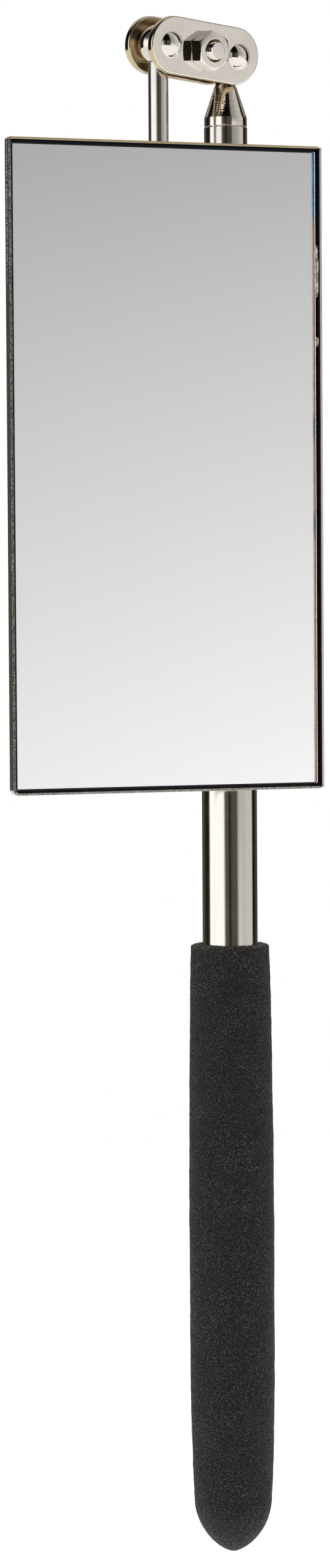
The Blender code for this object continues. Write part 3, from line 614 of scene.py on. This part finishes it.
def make_grip(skin):
    """The foam sleeve. Its bore is shown only to the lining's foot, where a disc that the
    tubes pass through closes it, out of sight."""
    bm = bmesh.new()
    cut = bm.verts.layers.float.new("cut_face")
    tip = bm.verts.new((0, 0, 0))
    rings = []
    for r, z, rough, paleness in grip_rows():
        ring = []
        for k in range(GRIP_ROUND):
            turn = 2 * pi * k / GRIP_ROUND
            way = Vector((cos(turn), sin(turn), 0))
            at = way * r + Vector((0, 0, z))
            push = foam_offset(at) * rough * min(1.0, z / GRIP_SMOOTH_TIP)
            lift = 0.0 if paleness < 0.5 else foam_offset(at * 1.7) * 1.5 - 0.1 * MM
            vertex = bm.verts.new(at + way * push + Vector((0, 0, lift)))
            vertex[cut] = paleness
            ring.append(vertex)
        rings.append(ring)
    for k in range(GRIP_ROUND):
        bm.faces.new((tip, rings[0][(k + 1) % GRIP_ROUND], rings[0][k]))
    join_rings(bm, rings)
    bm.faces.new(reversed(rings[-1]))
    grip = piece("foam_grip", bm, "handle", [skin["foam"]], ["grip_sleeve"], sharp=180)


def tube_outline(radius, wall, foot, mouth, lip, lip_length):
    """A drawn tube with its mouth rolled in and a shallow swage below the mouth."""
    bore = radius - wall
    roll = 0.28 * MM
    swage, reach, dip = mouth - 2.6 * MM, 0.5 * MM, 0.07 * MM
    outline = [(radius, foot), (radius, swage - reach)]
    outline += [(radius - dip * sin(pi * n / 8), swage - reach + 2 * reach * n / 8)
                for n in range(1, 8)]
    outline += [(radius, swage + reach)]
    outline += arc((radius - roll, mouth - roll), roll, 0, pi / 2, 6)
    outline += [(lip + 0.06 * MM, mouth), (lip, mouth - 0.06 * MM), (lip, mouth - lip_length),
                (bore, mouth - lip_length - 0.2 * MM), (bore, foot)]
    return outline


TUBE_CLEARANCE, TUBE_LIP = 0.045 * MM, 0.8 * MM
OUTER_TUBE_WALL, MIDDLE_TUBE_WALL, INNER_TUBE_WALL = 0.35 * MM, 0.30 * MM, 0.36 * MM


def make_tubes(skin):
    """Three telescoping sections, each with the CAD tube's height and radius."""
    sections = [
        ("outer_tube", "handle_tube", "handle", OUTER_TUBE_WALL, "middle_tube"),
        ("middle_tube_skin", "middle_tube", "middle_section", MIDDLE_TUBE_WALL, "inner_tube"),
    ]
    for name, node, body, wall, guided in sections:
        foot, mouth = heights(node)
        lip = node_radius(guided) + TUBE_CLEARANCE
        outline = tube_outline(node_radius(node), wall, foot, mouth, lip, TUBE_LIP)
        piece(name, turned(outline), body, [skin["tube"]], [node])
    foot, mouth = heights("inner_tube")
    radius = node_radius("inner_tube")
    bore = radius - INNER_TUBE_WALL
    roll = 0.10 * MM
    outline = [(radius, foot)] + arc((radius - roll, mouth - roll), roll, 0, pi / 2, 4)
    outline += [(bore, mouth), (bore, foot)]
    piece("top_tube", turned(outline), "inner_section", [skin["tube"]], ["inner_tube"])


# Ball joint ----------


def lower_centre():
    return Vector(JOINTS["link_swing"]["pos_m"])


def upper_centre():
    return Vector(JOINTS["mirror_swing"]["pos_m"])


def link_frame():
    """World matrix of the link: origin at the lower ball, X away from the upper ball,
    Y through the plates from front to back."""
    along = (lower_centre() - upper_centre()).normalized()
    through = Vector(JOINTS["link_swing"]["axis"]).normalized()
    axes = Matrix((along, through, along.cross(through))).transposed()
    return Matrix.Translation(lower_centre()) @ axes.to_4x4()


def link_pitch():
    return (lower_centre() - upper_centre()).length


BALL_RADIUS, BALL_FLAT = 3.175 * MM, 2.70 * MM
BALL_BORE, BALL_BORE_TOP = 1.08 * MM, 1.3 * MM
SHOULDER_DEPTH = 2.78 * MM  # where a neck ends, below its ball's centre
PEG_RADIUS, PEG_TOP = 1.0 * MM, 1.1 * MM

NOSE_RADIUS, NOSE_GAP = 3.41 * MM, 0.1 * MM
NOSE_SPIGOT, NOSE_SPIGOT_INSET = 8.9 * MM, 0.44 * MM
NOSE_FOOT_ROUND, NOSE_SHOULDER_ROUND = 0.06 * MM, 0.25 * MM
NOSE_CYLINDER = 1.5 * MM
NOSE_CONE = 4.85 * MM
NOSE_CONE_TIP = 1.8 * MM
NECK_RADIUS = 1.6 * MM
GROOVES, GROOVE_DEPTH = 44, 0.022 * MM


def make_nose(skin):
    """The turned stud, with the tool marks on its cone cut as real grooves."""
    centre = lower_centre().z
    base = heights("inner_tube")[1] + NOSE_GAP
    radius = NOSE_RADIUS
    cone_foot = base + NOSE_CYLINDER
    cone_top = cone_foot + NOSE_CONE
    spigot = node_radius("inner_tube") - NOSE_SPIGOT_INSET
    foot, shoulder = NOSE_FOOT_ROUND, NOSE_SHOULDER_ROUND
    outline = [(0, base - NOSE_SPIGOT), (spigot, base - NOSE_SPIGOT), (spigot, base)]
    outline += arc((radius - foot, base + foot), foot, -pi / 2, 0, 3)
    outline += arc((radius - shoulder, cone_foot - 0.12 * MM), shoulder, 0, radians(18), 3)
    for n in range(GROOVES + 1):
        share = 0.04 + 0.95 * n / GROOVES
        z = cone_foot + NOSE_CONE * share
        slope = radius + (NOSE_CONE_TIP - radius) * share
        where = 1.0 if 0.05 < share < 0.72 else 0.25
        bite = GROOVE_DEPTH * where * abs(noise.noise(Vector((0, 0, n * 0.77)))) * 2.2
        outline.append((slope - bite * (n % 2), z))
    outline += [(NECK_RADIUS, cone_top + 0.35 * MM), (NECK_RADIUS, centre - SHOULDER_DEPTH),
                (PEG_RADIUS, centre - SHOULDER_DEPTH), (PEG_RADIUS, centre + PEG_TOP),
                (0, centre + PEG_TOP)]
    piece("turned_nose", turned(outline, 160), "inner_section", [skin["turned"]],
          ["nose_stud"], sharp=40)


def make_ball(name, node, body, centre, skin):
    """A drilled steel ball with a narrow flat where the stud or stem enters."""
    start = -atan2(BALL_FLAT, sqrt(BALL_RADIUS**2 - BALL_FLAT**2))
    outline = arc((0, 0), BALL_RADIUS, start, pi / 2, 48)
    outline[-1] = (0.0, BALL_RADIUS)
    outline += [(0.0, BALL_BORE_TOP), (BALL_BORE, BALL_BORE_TOP),
                (BALL_BORE, 0.1 * MM - BALL_FLAT), (BALL_BORE + 0.1 * MM, -BALL_FLAT)]
    piece(name, turned(outline, MEDIUM), body, [skin["ball"]], [node],
          Matrix.Translation(centre))


PLATE_LENGTH, PLATE_WIDTH, PLATE_THICKNESS = 21.2 * MM, 9.1 * MM, 1.25 * MM
PLATE_GAP = 5.0 * MM
PLATE_EDGE = 0.28 * MM
BOLT_HOLE = 1.65 * MM
DOME_RADIUS, DOME_RISE, DOME_FILLET = 2.5 * MM, 1.0 * MM, 0.22 * MM
SOCKET_RADIUS = 3.275 * MM
FLAT_SLACK, ROUND_SLACK = 0.01 * MM, 0.02 * MM


def stadium(length, width, steps):
    reach = (length - width) / 2
    right = arc((reach, 0), width / 2, -pi / 2, pi / 2, steps)
    return right + arc((-reach, 0), width / 2, pi / 2, 3 * pi / 2, steps)


def dome_outline():
    """The pressed dome about the ball's centre: a cap that a fillet joins to the plate."""
    face = PLATE_GAP / 2 + PLATE_THICKNESS
    centre = face + DOME_RISE - DOME_RADIUS
    over = face + DOME_FILLET - centre
    foot = sqrt((DOME_RADIUS + DOME_FILLET) ** 2 - over**2)
    lean = atan2(over, foot)
    fillet = arc((foot, face + DOME_FILLET), DOME_FILLET, -pi / 2, lean - pi, 8)
    cap = arc((0, centre), DOME_RADIUS, lean, pi / 2, 40)
    inside = face - PLATE_THICKNESS / 4
    return [(0.0, inside), (foot, inside)] + fillet + cap[1:-1] + [(0.0, centre + DOME_RADIUS)]


def make_plate(name, node, outward, skin):
    """A link plate with rounded edges, two pressed ball seats and a chamfered bolt hole."""
    bm = extruded(stadium(PLATE_LENGTH, PLATE_WIDTH, 40), PLATE_THICKNESS)
    round_edges(bm, PLATE_EDGE, 6, on_flat_faces)
    near = PLATE_GAP / 2 if outward > 0 else -PLATE_GAP / 2 - PLATE_THICKNESS
    moved(bm, x=-link_pitch() / 2, y=near)
    socket = [(0.0, 0.0)] + arc((0, 0), SOCKET_RADIUS, 0, pi / 2, 40)[:-1] + [(0.0, SOCKET_RADIUS)]
    for x in (-link_pitch(), 0.0):
        bm = combined(bm, moved(along_y(turned(dome_outline(), MEDIUM), outward), x=x), "UNION")
        bm = combined(bm, moved(along_y(turned(socket, MEDIUM), outward), x=x), "DIFFERENCE")
    edge, over = 0.07 * MM, 0.5 * MM
    hole = [(0, -over), (BOLT_HOLE + edge + over, -over), (BOLT_HOLE, edge),
            (BOLT_HOLE, PLATE_THICKNESS - edge),
            (BOLT_HOLE + edge + over, PLATE_THICKNESS + over), (0, PLATE_THICKNESS + over)]
    tool = moved(along_y(turned(hole, MEDIUM)), x=-link_pitch() / 2, y=near)
    bm = combined(bm, tool, "DIFFERENCE")
    # Faces between the plates and in the ball seats take the dark brown nickel: a stain that also
    # stands as painted shade between the parts.
    for face in bm.faces:
        at = face.calc_center_median()
        from_ball = min(at.length, (at - Vector((-link_pitch(), 0, 0))).length)
        facing_in = abs(at.y) < PLATE_GAP / 2 + FLAT_SLACK
        inner = facing_in or from_ball < SOCKET_RADIUS + ROUND_SLACK
        along = max(abs(at.x + link_pitch() / 2) - (PLATE_LENGTH - PLATE_WIDTH) / 2, 0)
        rim = hypot(along, at.z) > PLATE_WIDTH / 2 - PLATE_EDGE / 2
        face.material_index = 2 if rim else int(inner)
    skins = [skin["nickel"], skin["stain_and_shade"], skin["rim"]]
    piece(name, bm, "link", skins, [node], link_frame(), weighted=True)


HEX_FLATS, HEX_CORNER_ROUND = 5.5 * MM, 0.07 * MM
HEX_CHAMFER_START, HEX_CHAMFER_ANGLE = 0.96, radians(30)
NUT_HEIGHT, HEAD_HEIGHT = 2.4 * MM, 2.0 * MM
THREAD_PITCH = 0.5 * MM
THREAD_CREST, THREAD_ROOT = 1.42 * MM, 1.18 * MM
THREAD_RING = 0.04 * MM
NUT_BORE, NUT_SINK = THREAD_CREST + 0.03 * MM, 1.82 * MM
NUT_GROOVE_HALF_WIDTH, NUT_GROOVE_DEPTH = 0.18 * MM, 0.16 * MM
BOLT_PROUD, BOLT_THREAD = 0.92 * MM, NUT_HEIGHT + 1.6 * MM
BOLT_END_RADIUS, BOLT_END_CHAMFER = 1.24 * MM, 0.22 * MM
NUT_REST_TURN = radians(9)
SEAT_GAP = 0.05 * MM


def hexagon_body(height, chamfer_bottom, turn=0.0):
    """A hexagon along +Y from y = 0 with the corners turned off its far end, or off both."""
    corner = HEX_FLATS / sqrt(3)
    bm = extruded(arc((0, 0), corner, pi / 2 + turn, 5 * pi / 2 + turn, 6)[:-1], height)
    round_edges(bm, HEX_CORNER_ROUND, 2, lambda e: not on_flat_faces(e))
    flat = HEX_FLATS / 2 * HEX_CHAMFER_START
    wide = corner + 0.2 * MM
    rise = (wide - flat) * tan(HEX_CHAMFER_ANGLE)
    low = [(0, 0), (flat, 0), (wide, rise)] if chamfer_bottom else [(0, -rise), (wide, -rise)]
    high = [(wide, height - rise), (flat, height), (0, height)]
    return combined(bm, along_y(turned(low + high, MEDIUM)), "INTERSECT")


def thread_radius(turn, z):
    """Radius of a thread with flat crests and roots, at an angle and height."""
    share = (z / THREAD_PITCH - turn / (2 * pi)) % 1.0
    ridge = 1 - abs(2 * share - 1)
    return THREAD_ROOT + (THREAD_CREST - THREAD_ROOT) * min(1.0, max(0.0, 1.5 * ridge - 0.2))


def threaded_rod(length, end_radius, chamfer):
    """A threaded length from z = 0 to its chamfered end, as a closed bmesh."""
    steps = int(length / THREAD_RING)
    bm = bmesh.new()
    rings = []
    for n in range(steps + 1):
        z = length * n / steps
        limit = end_radius + (THREAD_CREST - end_radius) * min(1.0, (length - z) / chamfer)
        ring = []
        for k in range(MEDIUM):
            turn = 2 * pi * k / MEDIUM
            r = min(limit, thread_radius(turn, z))
            ring.append(bm.verts.new((r * cos(turn), r * sin(turn), z)))
        rings.append(ring)
    join_rings(bm, rings)
    bm.faces.new(reversed(rings[0]))
    crown = bm.verts.new((0, 0, length + 0.03 * MM))
    for k in range(MEDIUM):
        bm.faces.new((rings[-1][k], rings[-1][(k + 1) % MEDIUM], crown))
    return bm


def bolt_frame():
    return link_frame() @ Matrix.Translation((-link_pitch() / 2, 0, 0))


def make_nut(skin):
    """The clamp nut, chamfered on both faces, with ring grooves for a thread in its bore."""
    front = PLATE_GAP / 2 + PLATE_THICKNESS + SEAT_GAP
    depth, over = NUT_SINK - NUT_BORE, 1.0 * MM
    outline = [(0, -over), (NUT_SINK + over, -over), (NUT_BORE, depth)]
    for n in range(int((NUT_HEIGHT - 2 * depth) / THREAD_PITCH)):
        z = depth + (n + 0.5) * THREAD_PITCH
        outline += [(NUT_BORE, z - NUT_GROOVE_HALF_WIDTH), (NUT_BORE + NUT_GROOVE_DEPTH, z),
                    (NUT_BORE, z + NUT_GROOVE_HALF_WIDTH)]
    outline += [(NUT_BORE, NUT_HEIGHT - depth), (NUT_SINK + over, NUT_HEIGHT + over),
                (0, NUT_HEIGHT + over)]
    body = hexagon_body(NUT_HEIGHT, True, NUT_REST_TURN)
    bm = combined(body, along_y(turned(outline, MEDIUM)), "DIFFERENCE")
    # The countersink and bore take the dark brown nickel: a stain that also stands as painted shade
    # in the recess.
    for face in bm.faces:
        at = face.calc_center_median()
        face.material_index = int(hypot(at.x, at.z) < NUT_SINK and len(face.verts) < 12)
    moved(bm, y=-front - NUT_HEIGHT)
    piece("hex_nut", bm, "nut", [skin["nickel"], skin["stain_and_shade"]], ["clamp_nut"],
          bolt_frame(), weighted=True)


def make_bolt(skin):
    """Bolt with its head behind the back plate and its threaded end past the nut."""
    stack = PLATE_GAP / 2 + PLATE_THICKNESS
    head = moved(hexagon_body(HEAD_HEIGHT, False), y=stack + SEAT_GAP)
    end = stack + SEAT_GAP + NUT_HEIGHT + BOLT_PROUD
    rod = along_y(threaded_rod(BOLT_THREAD, BOLT_END_RADIUS, BOLT_END_CHAMFER), -1)
    moved(rod, y=BOLT_THREAD - end)
    low, high = BOLT_THREAD - end - 0.02 * MM, stack + 0.5 * MM
    shank = turned([(0, low), (THREAD_CREST, low), (THREAD_CREST, high), (0, high)], MEDIUM)
    bm = combined(combined(head, along_y(shank), "UNION"), rod, "UNION")
    piece("threaded_bolt", bm, "link", [skin["nickel"]], ["clamp_bolt"], bolt_frame(),
          weighted=True)


# Mirror ----------


STEM_FOOT_ROUND, STEM_TOP_ROUND = 0.4 * MM, 0.12 * MM


def make_stem(skin):
    low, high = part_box("mirror_stem")
    centre = upper_centre()
    radius = (high.x - low.x) / 2
    foot, shoulder = low.z - centre.z, -SHOULDER_DEPTH
    foot_round, top_round = STEM_FOOT_ROUND, STEM_TOP_ROUND
    outline = [(0, foot), (radius - foot_round, foot)]
    outline += arc((radius - foot_round, foot + foot_round), foot_round, -pi / 2, 0, 6)
    outline += arc((radius - top_round, shoulder - top_round), top_round, 0, pi / 2, 4)
    outline += [(PEG_RADIUS, shoulder), (PEG_RADIUS, PEG_TOP), (0, PEG_TOP)]
    piece("stem_rod", turned(outline), "mirror", [skin["stem"]], ["mirror_stem"],
          Matrix.Translation(centre))


SADDLE_SHEET, SADDLE_BEND = 0.5 * MM, 0.45 * MM
WELD_RADIUS, WELD_FLATNESS, WELD_PLACE = 0.9 * MM, 0.13, 0.3


def make_saddle(skin):
    """Strap bent over the stem, with soft bends, and four spot welds on its flanges."""
    low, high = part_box("stem_saddle")
    axis = upper_centre()
    half = (high.x - low.x) / 2
    seat, top = low.y - axis.y, high.y - axis.y
    bend, base, hump = SADDLE_BEND, seat + SADDLE_SHEET, top - SADDLE_SHEET
    outline = [(-half, seat), (-hump, seat)] + arc((0, 0), hump, pi, 0, 32)
    outline += [(hump, seat), (half, seat), (half, base)]
    outline += arc((top + bend, base + bend), bend, 3 * pi / 2, pi, 6)
    outline += arc((0, 0), top, 0, pi, 32)
    outline += arc((-top - bend, base + bend), bend, 0, -pi / 2, 6) + [(-half, base)]
    bm = extruded(outline, high.z - low.z)
    bmesh.ops.rotate(bm, verts=bm.verts, cent=(0, 0, 0), matrix=Matrix.Rotation(-pi / 2, 3, "X"))
    place = Matrix.Translation((axis.x, axis.y, high.z))
    piece("strap_saddle", bm, "mirror", [skin["tray"]], ["stem_saddle"], place)
    welds = bmesh.new()
    for side in (-1, 1):
        for step in (-1, 1):
            made = bmesh.ops.create_uvsphere(welds, u_segments=24, v_segments=12,
                                             radius=WELD_RADIUS)["verts"]
            bmesh.ops.scale(welds, vec=(1, WELD_FLATNESS, 1), verts=made)
            at = (side * (top + half + bend) / 2, base, step * WELD_PLACE * (high.z - low.z))
            bmesh.ops.translate(welds, vec=at, verts=made)
    place = Matrix.Translation((axis.x, axis.y, (low.z + high.z) / 2))
    piece("saddle_spot_welds", welds, "mirror", [skin["shear"]], (), place)


TRAY_SHEET = 0.4 * MM
TRAY_BEND = 0.42 * MM
TRAY_LIP_ROUND = 0.17 * MM
TRAY_NOTCH, TRAY_STEP = 0.62 * MM, 0.20 * MM
TRAY_TOP_CORNER, TRAY_BOTTOM_CORNER = 0.46 * MM, 0.95 * MM
TRAY_TAB = 0.15 * MM
TRAY_WAVE = 0.05 * MM
TRAY_SAMPLE = 0.8 * MM


def wall_section(depth):
    """Section of a folded wall: (inward from the outer face, forward from the back)."""
    bend, sheet, crush = TRAY_BEND, TRAY_SHEET, TRAY_BEND - TRAY_SHEET
    outer = arc((bend, bend), bend, 3 * pi / 2, pi, 8)
    lip = arc((TRAY_LIP_ROUND, depth - TRAY_LIP_ROUND), TRAY_LIP_ROUND, pi, pi / 2, 5)
    burr = [(sheet - 0.03 * MM, depth), (sheet, depth - 0.05 * MM)]
    return outer + lip + burr + arc((bend, bend), crush, pi, 3 * pi / 2, 2)


def fold_path(corners, first, last):
    """Samples along a folded wall's outer face, each its x and z and the x and z of the
    inward direction.

    corners are (x, z, radius, start angle) for each round corner; the path runs straight
    between the corners and out to its first and last points."""
    path = []
    for x, z, radius, start in corners:
        path += [(px, pz, -(px - x) / radius, -(pz - z) / radius)
                 for px, pz in arc((x, z), radius, start, start + pi / 2, 10)]
    path = [(*first, path[0][2], path[0][3])] + path + [(*last, path[-1][2], path[-1][3])]
    samples = [path[0]]
    for a, b in zip(path, path[1:]):
        length = sqrt((b[0] - a[0]) ** 2 + (b[1] - a[1]) ** 2)
        steps = max(1, round(length / TRAY_SAMPLE))
        for n in range(1, steps + 1):
            share = n / steps
            samples.append(tuple(p + (q - p) * share for p, q in zip(a, b)))
    return samples


def folded_wall(samples, depth, seed):
    """Sweep the wall's section along its path; the sheared lip wavers a little."""
    bm = bmesh.new()
    rings = []
    for x, z, inward_x, inward_z in samples:
        wave = noise.noise(Vector((x, z, seed)) / (4 * MM)) * TRAY_WAVE
        drop = -abs(wave) - 0.4 * abs(noise.noise(Vector((x, z, seed)) / (0.9 * MM))) * TRAY_WAVE
        ring = []
        for inward, forward in wall_section(depth):
            low = drop if forward > depth / 2 else 0.0
            place = (x + inward_x * inward, -forward - low, z + inward_z * inward)
            ring.append(bm.verts.new(place))
        rings.append(ring)
    count = len(rings[0])
    for a, b in zip(rings, rings[1:]):
        for k in range(count):
            j = (k + 1) % count
            bm.faces.new((a[k], b[k], b[j], a[j]))
    bm.faces.new(rings[0])
    bm.faces.new(rings[-1])
    return bm


def make_tray(skin):
    """Pressed pan: a U of wall with round left corners, a right wall between notches."""
    low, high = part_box("mirror_tray")
    centre = Vector(((low.x + high.x) / 2, high.y, (low.z + high.z) / 2))
    half_x, half_z, depth = (high.x - low.x) / 2, (high.z - low.z) / 2, high.y - low.y
    notch_x, notch_z = half_x - TRAY_NOTCH, half_z - TRAY_STEP
    tab_x, tab_z = half_x - TRAY_TAB, half_z - TRAY_TAB
    top, bottom = TRAY_TOP_CORNER, TRAY_BOTTOM_CORNER
    corners = [(-half_x + top, half_z - top, top, pi / 2),
               (-half_x + bottom, -half_z + bottom, bottom, pi)]
    loop = fold_path(corners, (notch_x, half_z), (notch_x, -half_z))
    steps = round(2 * notch_z / TRAY_SAMPLE)
    right = [(half_x, -notch_z + 2 * notch_z * n / steps, -1.0, 0.0) for n in range(steps + 1)]
    lap = TRAY_BEND - 0.02 * MM
    edge_x, edge_z = half_x - lap, half_z - lap
    floor = arc((-half_x + top, half_z - top), top - lap, pi / 2, pi, 4)
    floor += arc((-half_x + bottom, -half_z + bottom), bottom - lap, pi, 3 * pi / 2, 6)
    floor += [(notch_x, -edge_z), (notch_x, -tab_z), (tab_x, -tab_z), (tab_x, -notch_z),
              (edge_x, -notch_z), (edge_x, notch_z), (tab_x, notch_z), (tab_x, tab_z),
              (notch_x, tab_z), (notch_x, edge_z)]
    pan = moved(extruded(floor, TRAY_SHEET - 0.01 * MM), y=-TRAY_SHEET + 0.005 * MM)
    pan = combined(pan, folded_wall(loop, depth, 0.0), "UNION")
    pan = combined(pan, folded_wall(right, depth, 5.0), "UNION")
    lip = -depth + TRAY_WAVE + 0.08 * MM
    reach_x, reach_z = half_x - 0.75 * TRAY_SHEET, half_z - 0.75 * TRAY_SHEET
    pan.normal_update()
    for face in pan.faces:
        at = face.calc_center_median()
        # Faces inside the pan take the near-black painted shade of the gap around the glass.
        within = abs(at.x) < reach_x and abs(at.z) < reach_z and at.y < -TRAY_SHEET / 2
        # The left and bottom lips take darker copies of the sheared edge, as painted shade.
        golden, left_lip_shade = at.z > half_z - TRAY_SHEET, at.x < -half_x + TRAY_SHEET
        bottom_lip_shade = at.z < TRAY_SHEET - half_z
        edge = 3 if golden else 4 if left_lip_shade else 5 if bottom_lip_shade else 1
        face.material_index = edge if at.y < lip else 2 if within else 0
    skins = [skin[name] for name in ("tray", "shear", "inside", "golden", "left_lip_shade", "bottom_lip_shade")]
    piece("folded_tray", pan, "mirror", skins, ["mirror_tray"],
          Matrix.Translation(centre), weighted=True)


BEAD_SQUARENESS = 4
BEAD_CAP = 0.68
BEAD_FULLNESS, BEAD_LUMP = 0.93, 0.2


def rounded_rectangle(half_x, half_z, radius, steps=8):
    x, z = half_x - radius, half_z - radius
    corners = [((x, -z), -pi / 2), ((x, z), 0.0), ((-x, z), pi / 2), ((-x, -z), pi)]
    return [p for middle, start in corners for p in arc(middle, radius, start, start + pi / 2, steps)]


GLASS_CORNER, GLASS_GRIND = 0.38 * MM, 0.18 * MM
SILVER_SHORTFALL = 0.28 * MM


def make_glass(skin):
    """The pane, its ground bevels and sawn sides in materials of their own, and behind it
    the silver and the backing paint."""
    low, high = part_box("mirror_glass")
    centre = (low + high) / 2
    half_x, half_z, thickness = (high.x - low.x) / 2, (high.z - low.z) / 2, high.y - low.y
    bm = extruded(rounded_rectangle(half_x, half_z, GLASS_CORNER), thickness)
    moved(bm, y=-thickness / 2)
    round_edges(bm, GLASS_GRIND, 1, lambda edge: on_flat_faces(edge) and edge.verts[0].co.y < 0)
    bm.normal_update()
    for face in bm.faces:
        # Right-facing bevels take the bright, glowing ground edge as painted light; the other bevels
        # take a dark copy as painted shade.
        bevel = 1 if face.normal.x > 0.3 else 3
        facing = abs(face.normal.y)
        face.material_index = 0 if facing > 0.95 else bevel if facing > 0.3 else 2
    edges = [skin["ground"], skin["backing"], skin["ground_painted_shade"]]
    piece("glass_pane", bm, "mirror", [skin["glass"]] + edges,
          ["mirror_glass"], Matrix.Translation(centre), sharp=20)
    low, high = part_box("mirror_silvering")
    half_x, half_z, half_y = (high.x - low.x) / 2, (high.z - low.z) / 2, (high.y - low.y) / 2
    bare = SILVER_SHORTFALL / 2
    silver = rounded_rectangle(half_x - bare, half_z, GLASS_CORNER)
    bm = moved(extruded(silver, half_y), x=-bare, y=-half_y)
    piece("silver_layer", bm, "mirror", [skin["silver"]], ["mirror_silvering"],
          Matrix.Translation((low + high) / 2), sharp=20)
    bm = extruded(rounded_rectangle(half_x, half_z, GLASS_CORNER), half_y)
    piece("backing_paint", bm, "mirror", [skin["backing"]], ["mirror_silvering"],
          Matrix.Translation((low + high) / 2), sharp=20)


def make_glue(skin):
    """Two lumpy beads of sealant in the gap at the right of the glass."""
    beads = (("sealant_bead", "glue_bead_upper", 3.0), ("sealant_drop", "glue_bead_lower", 9.0))
    for name, node, seed in beads:
        low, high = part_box(node)
        half = (high - low) / 2
        bm = bmesh.new()
        bmesh.ops.create_icosphere(bm, subdivisions=5, radius=1.0)
        for vertex in bm.verts:
            at = vertex.co
            fullness = sum(abs(value) ** BEAD_SQUARENESS for value in at) ** (-1 / BEAD_SQUARENESS)
            lump = noise.noise(Vector((at.x * 2, at.y * 2, at.z * 5 + seed)))
            swell = fullness * min(1.0, BEAD_FULLNESS + BEAD_LUMP * lump)
            vertex.co = Vector(a * b for a, b in zip(at, half)) * swell
        for face in bm.faces:
            face.material_index = int(face.calc_center_median().z > BEAD_CAP * half.z)
        piece(name, bm, "mirror", [skin["sealant"], skin["milky"]], [node],
              Matrix.Translation((low + high) / 2), sharp=180)


def paint_cad_nodes(skin):
    """Inner pieces keep their CAD shape and get their own materials."""
    chosen = {
        "handle_end_plug": "plastic", "middle_tail_bush": "brass", "inner_tail_bush": "brass",
        "middle_friction_spring": "bronze", "inner_friction_spring": "bronze", "adhesive_pad": "tape",
    }
    for node, material in chosen.items():
        slots = NODES[node].data.materials
        slots.clear()
        slots.append(skin[material])


def main():
    make_camera()
    make_studio()
    make_floor()
    skin = make_materials()
    make_grip(skin)
    make_tubes(skin)
    make_nose(skin)
    make_ball("nose_ball", "lower_ball", "neck_ball", lower_centre(), skin)
    make_ball("stem_end_ball", "upper_ball", "stem_ball", upper_centre(), skin)
    make_plate("link_plate_front", "front_link_plate", -1, skin)
    make_plate("link_plate_back", "back_link_plate", 1, skin)
    make_nut(skin)
    make_bolt(skin)
    make_stem(skin)
    make_saddle(skin)
    make_tray(skin)
    make_glass(skin)
    make_glue(skin)
    paint_cad_nodes(skin)


main()
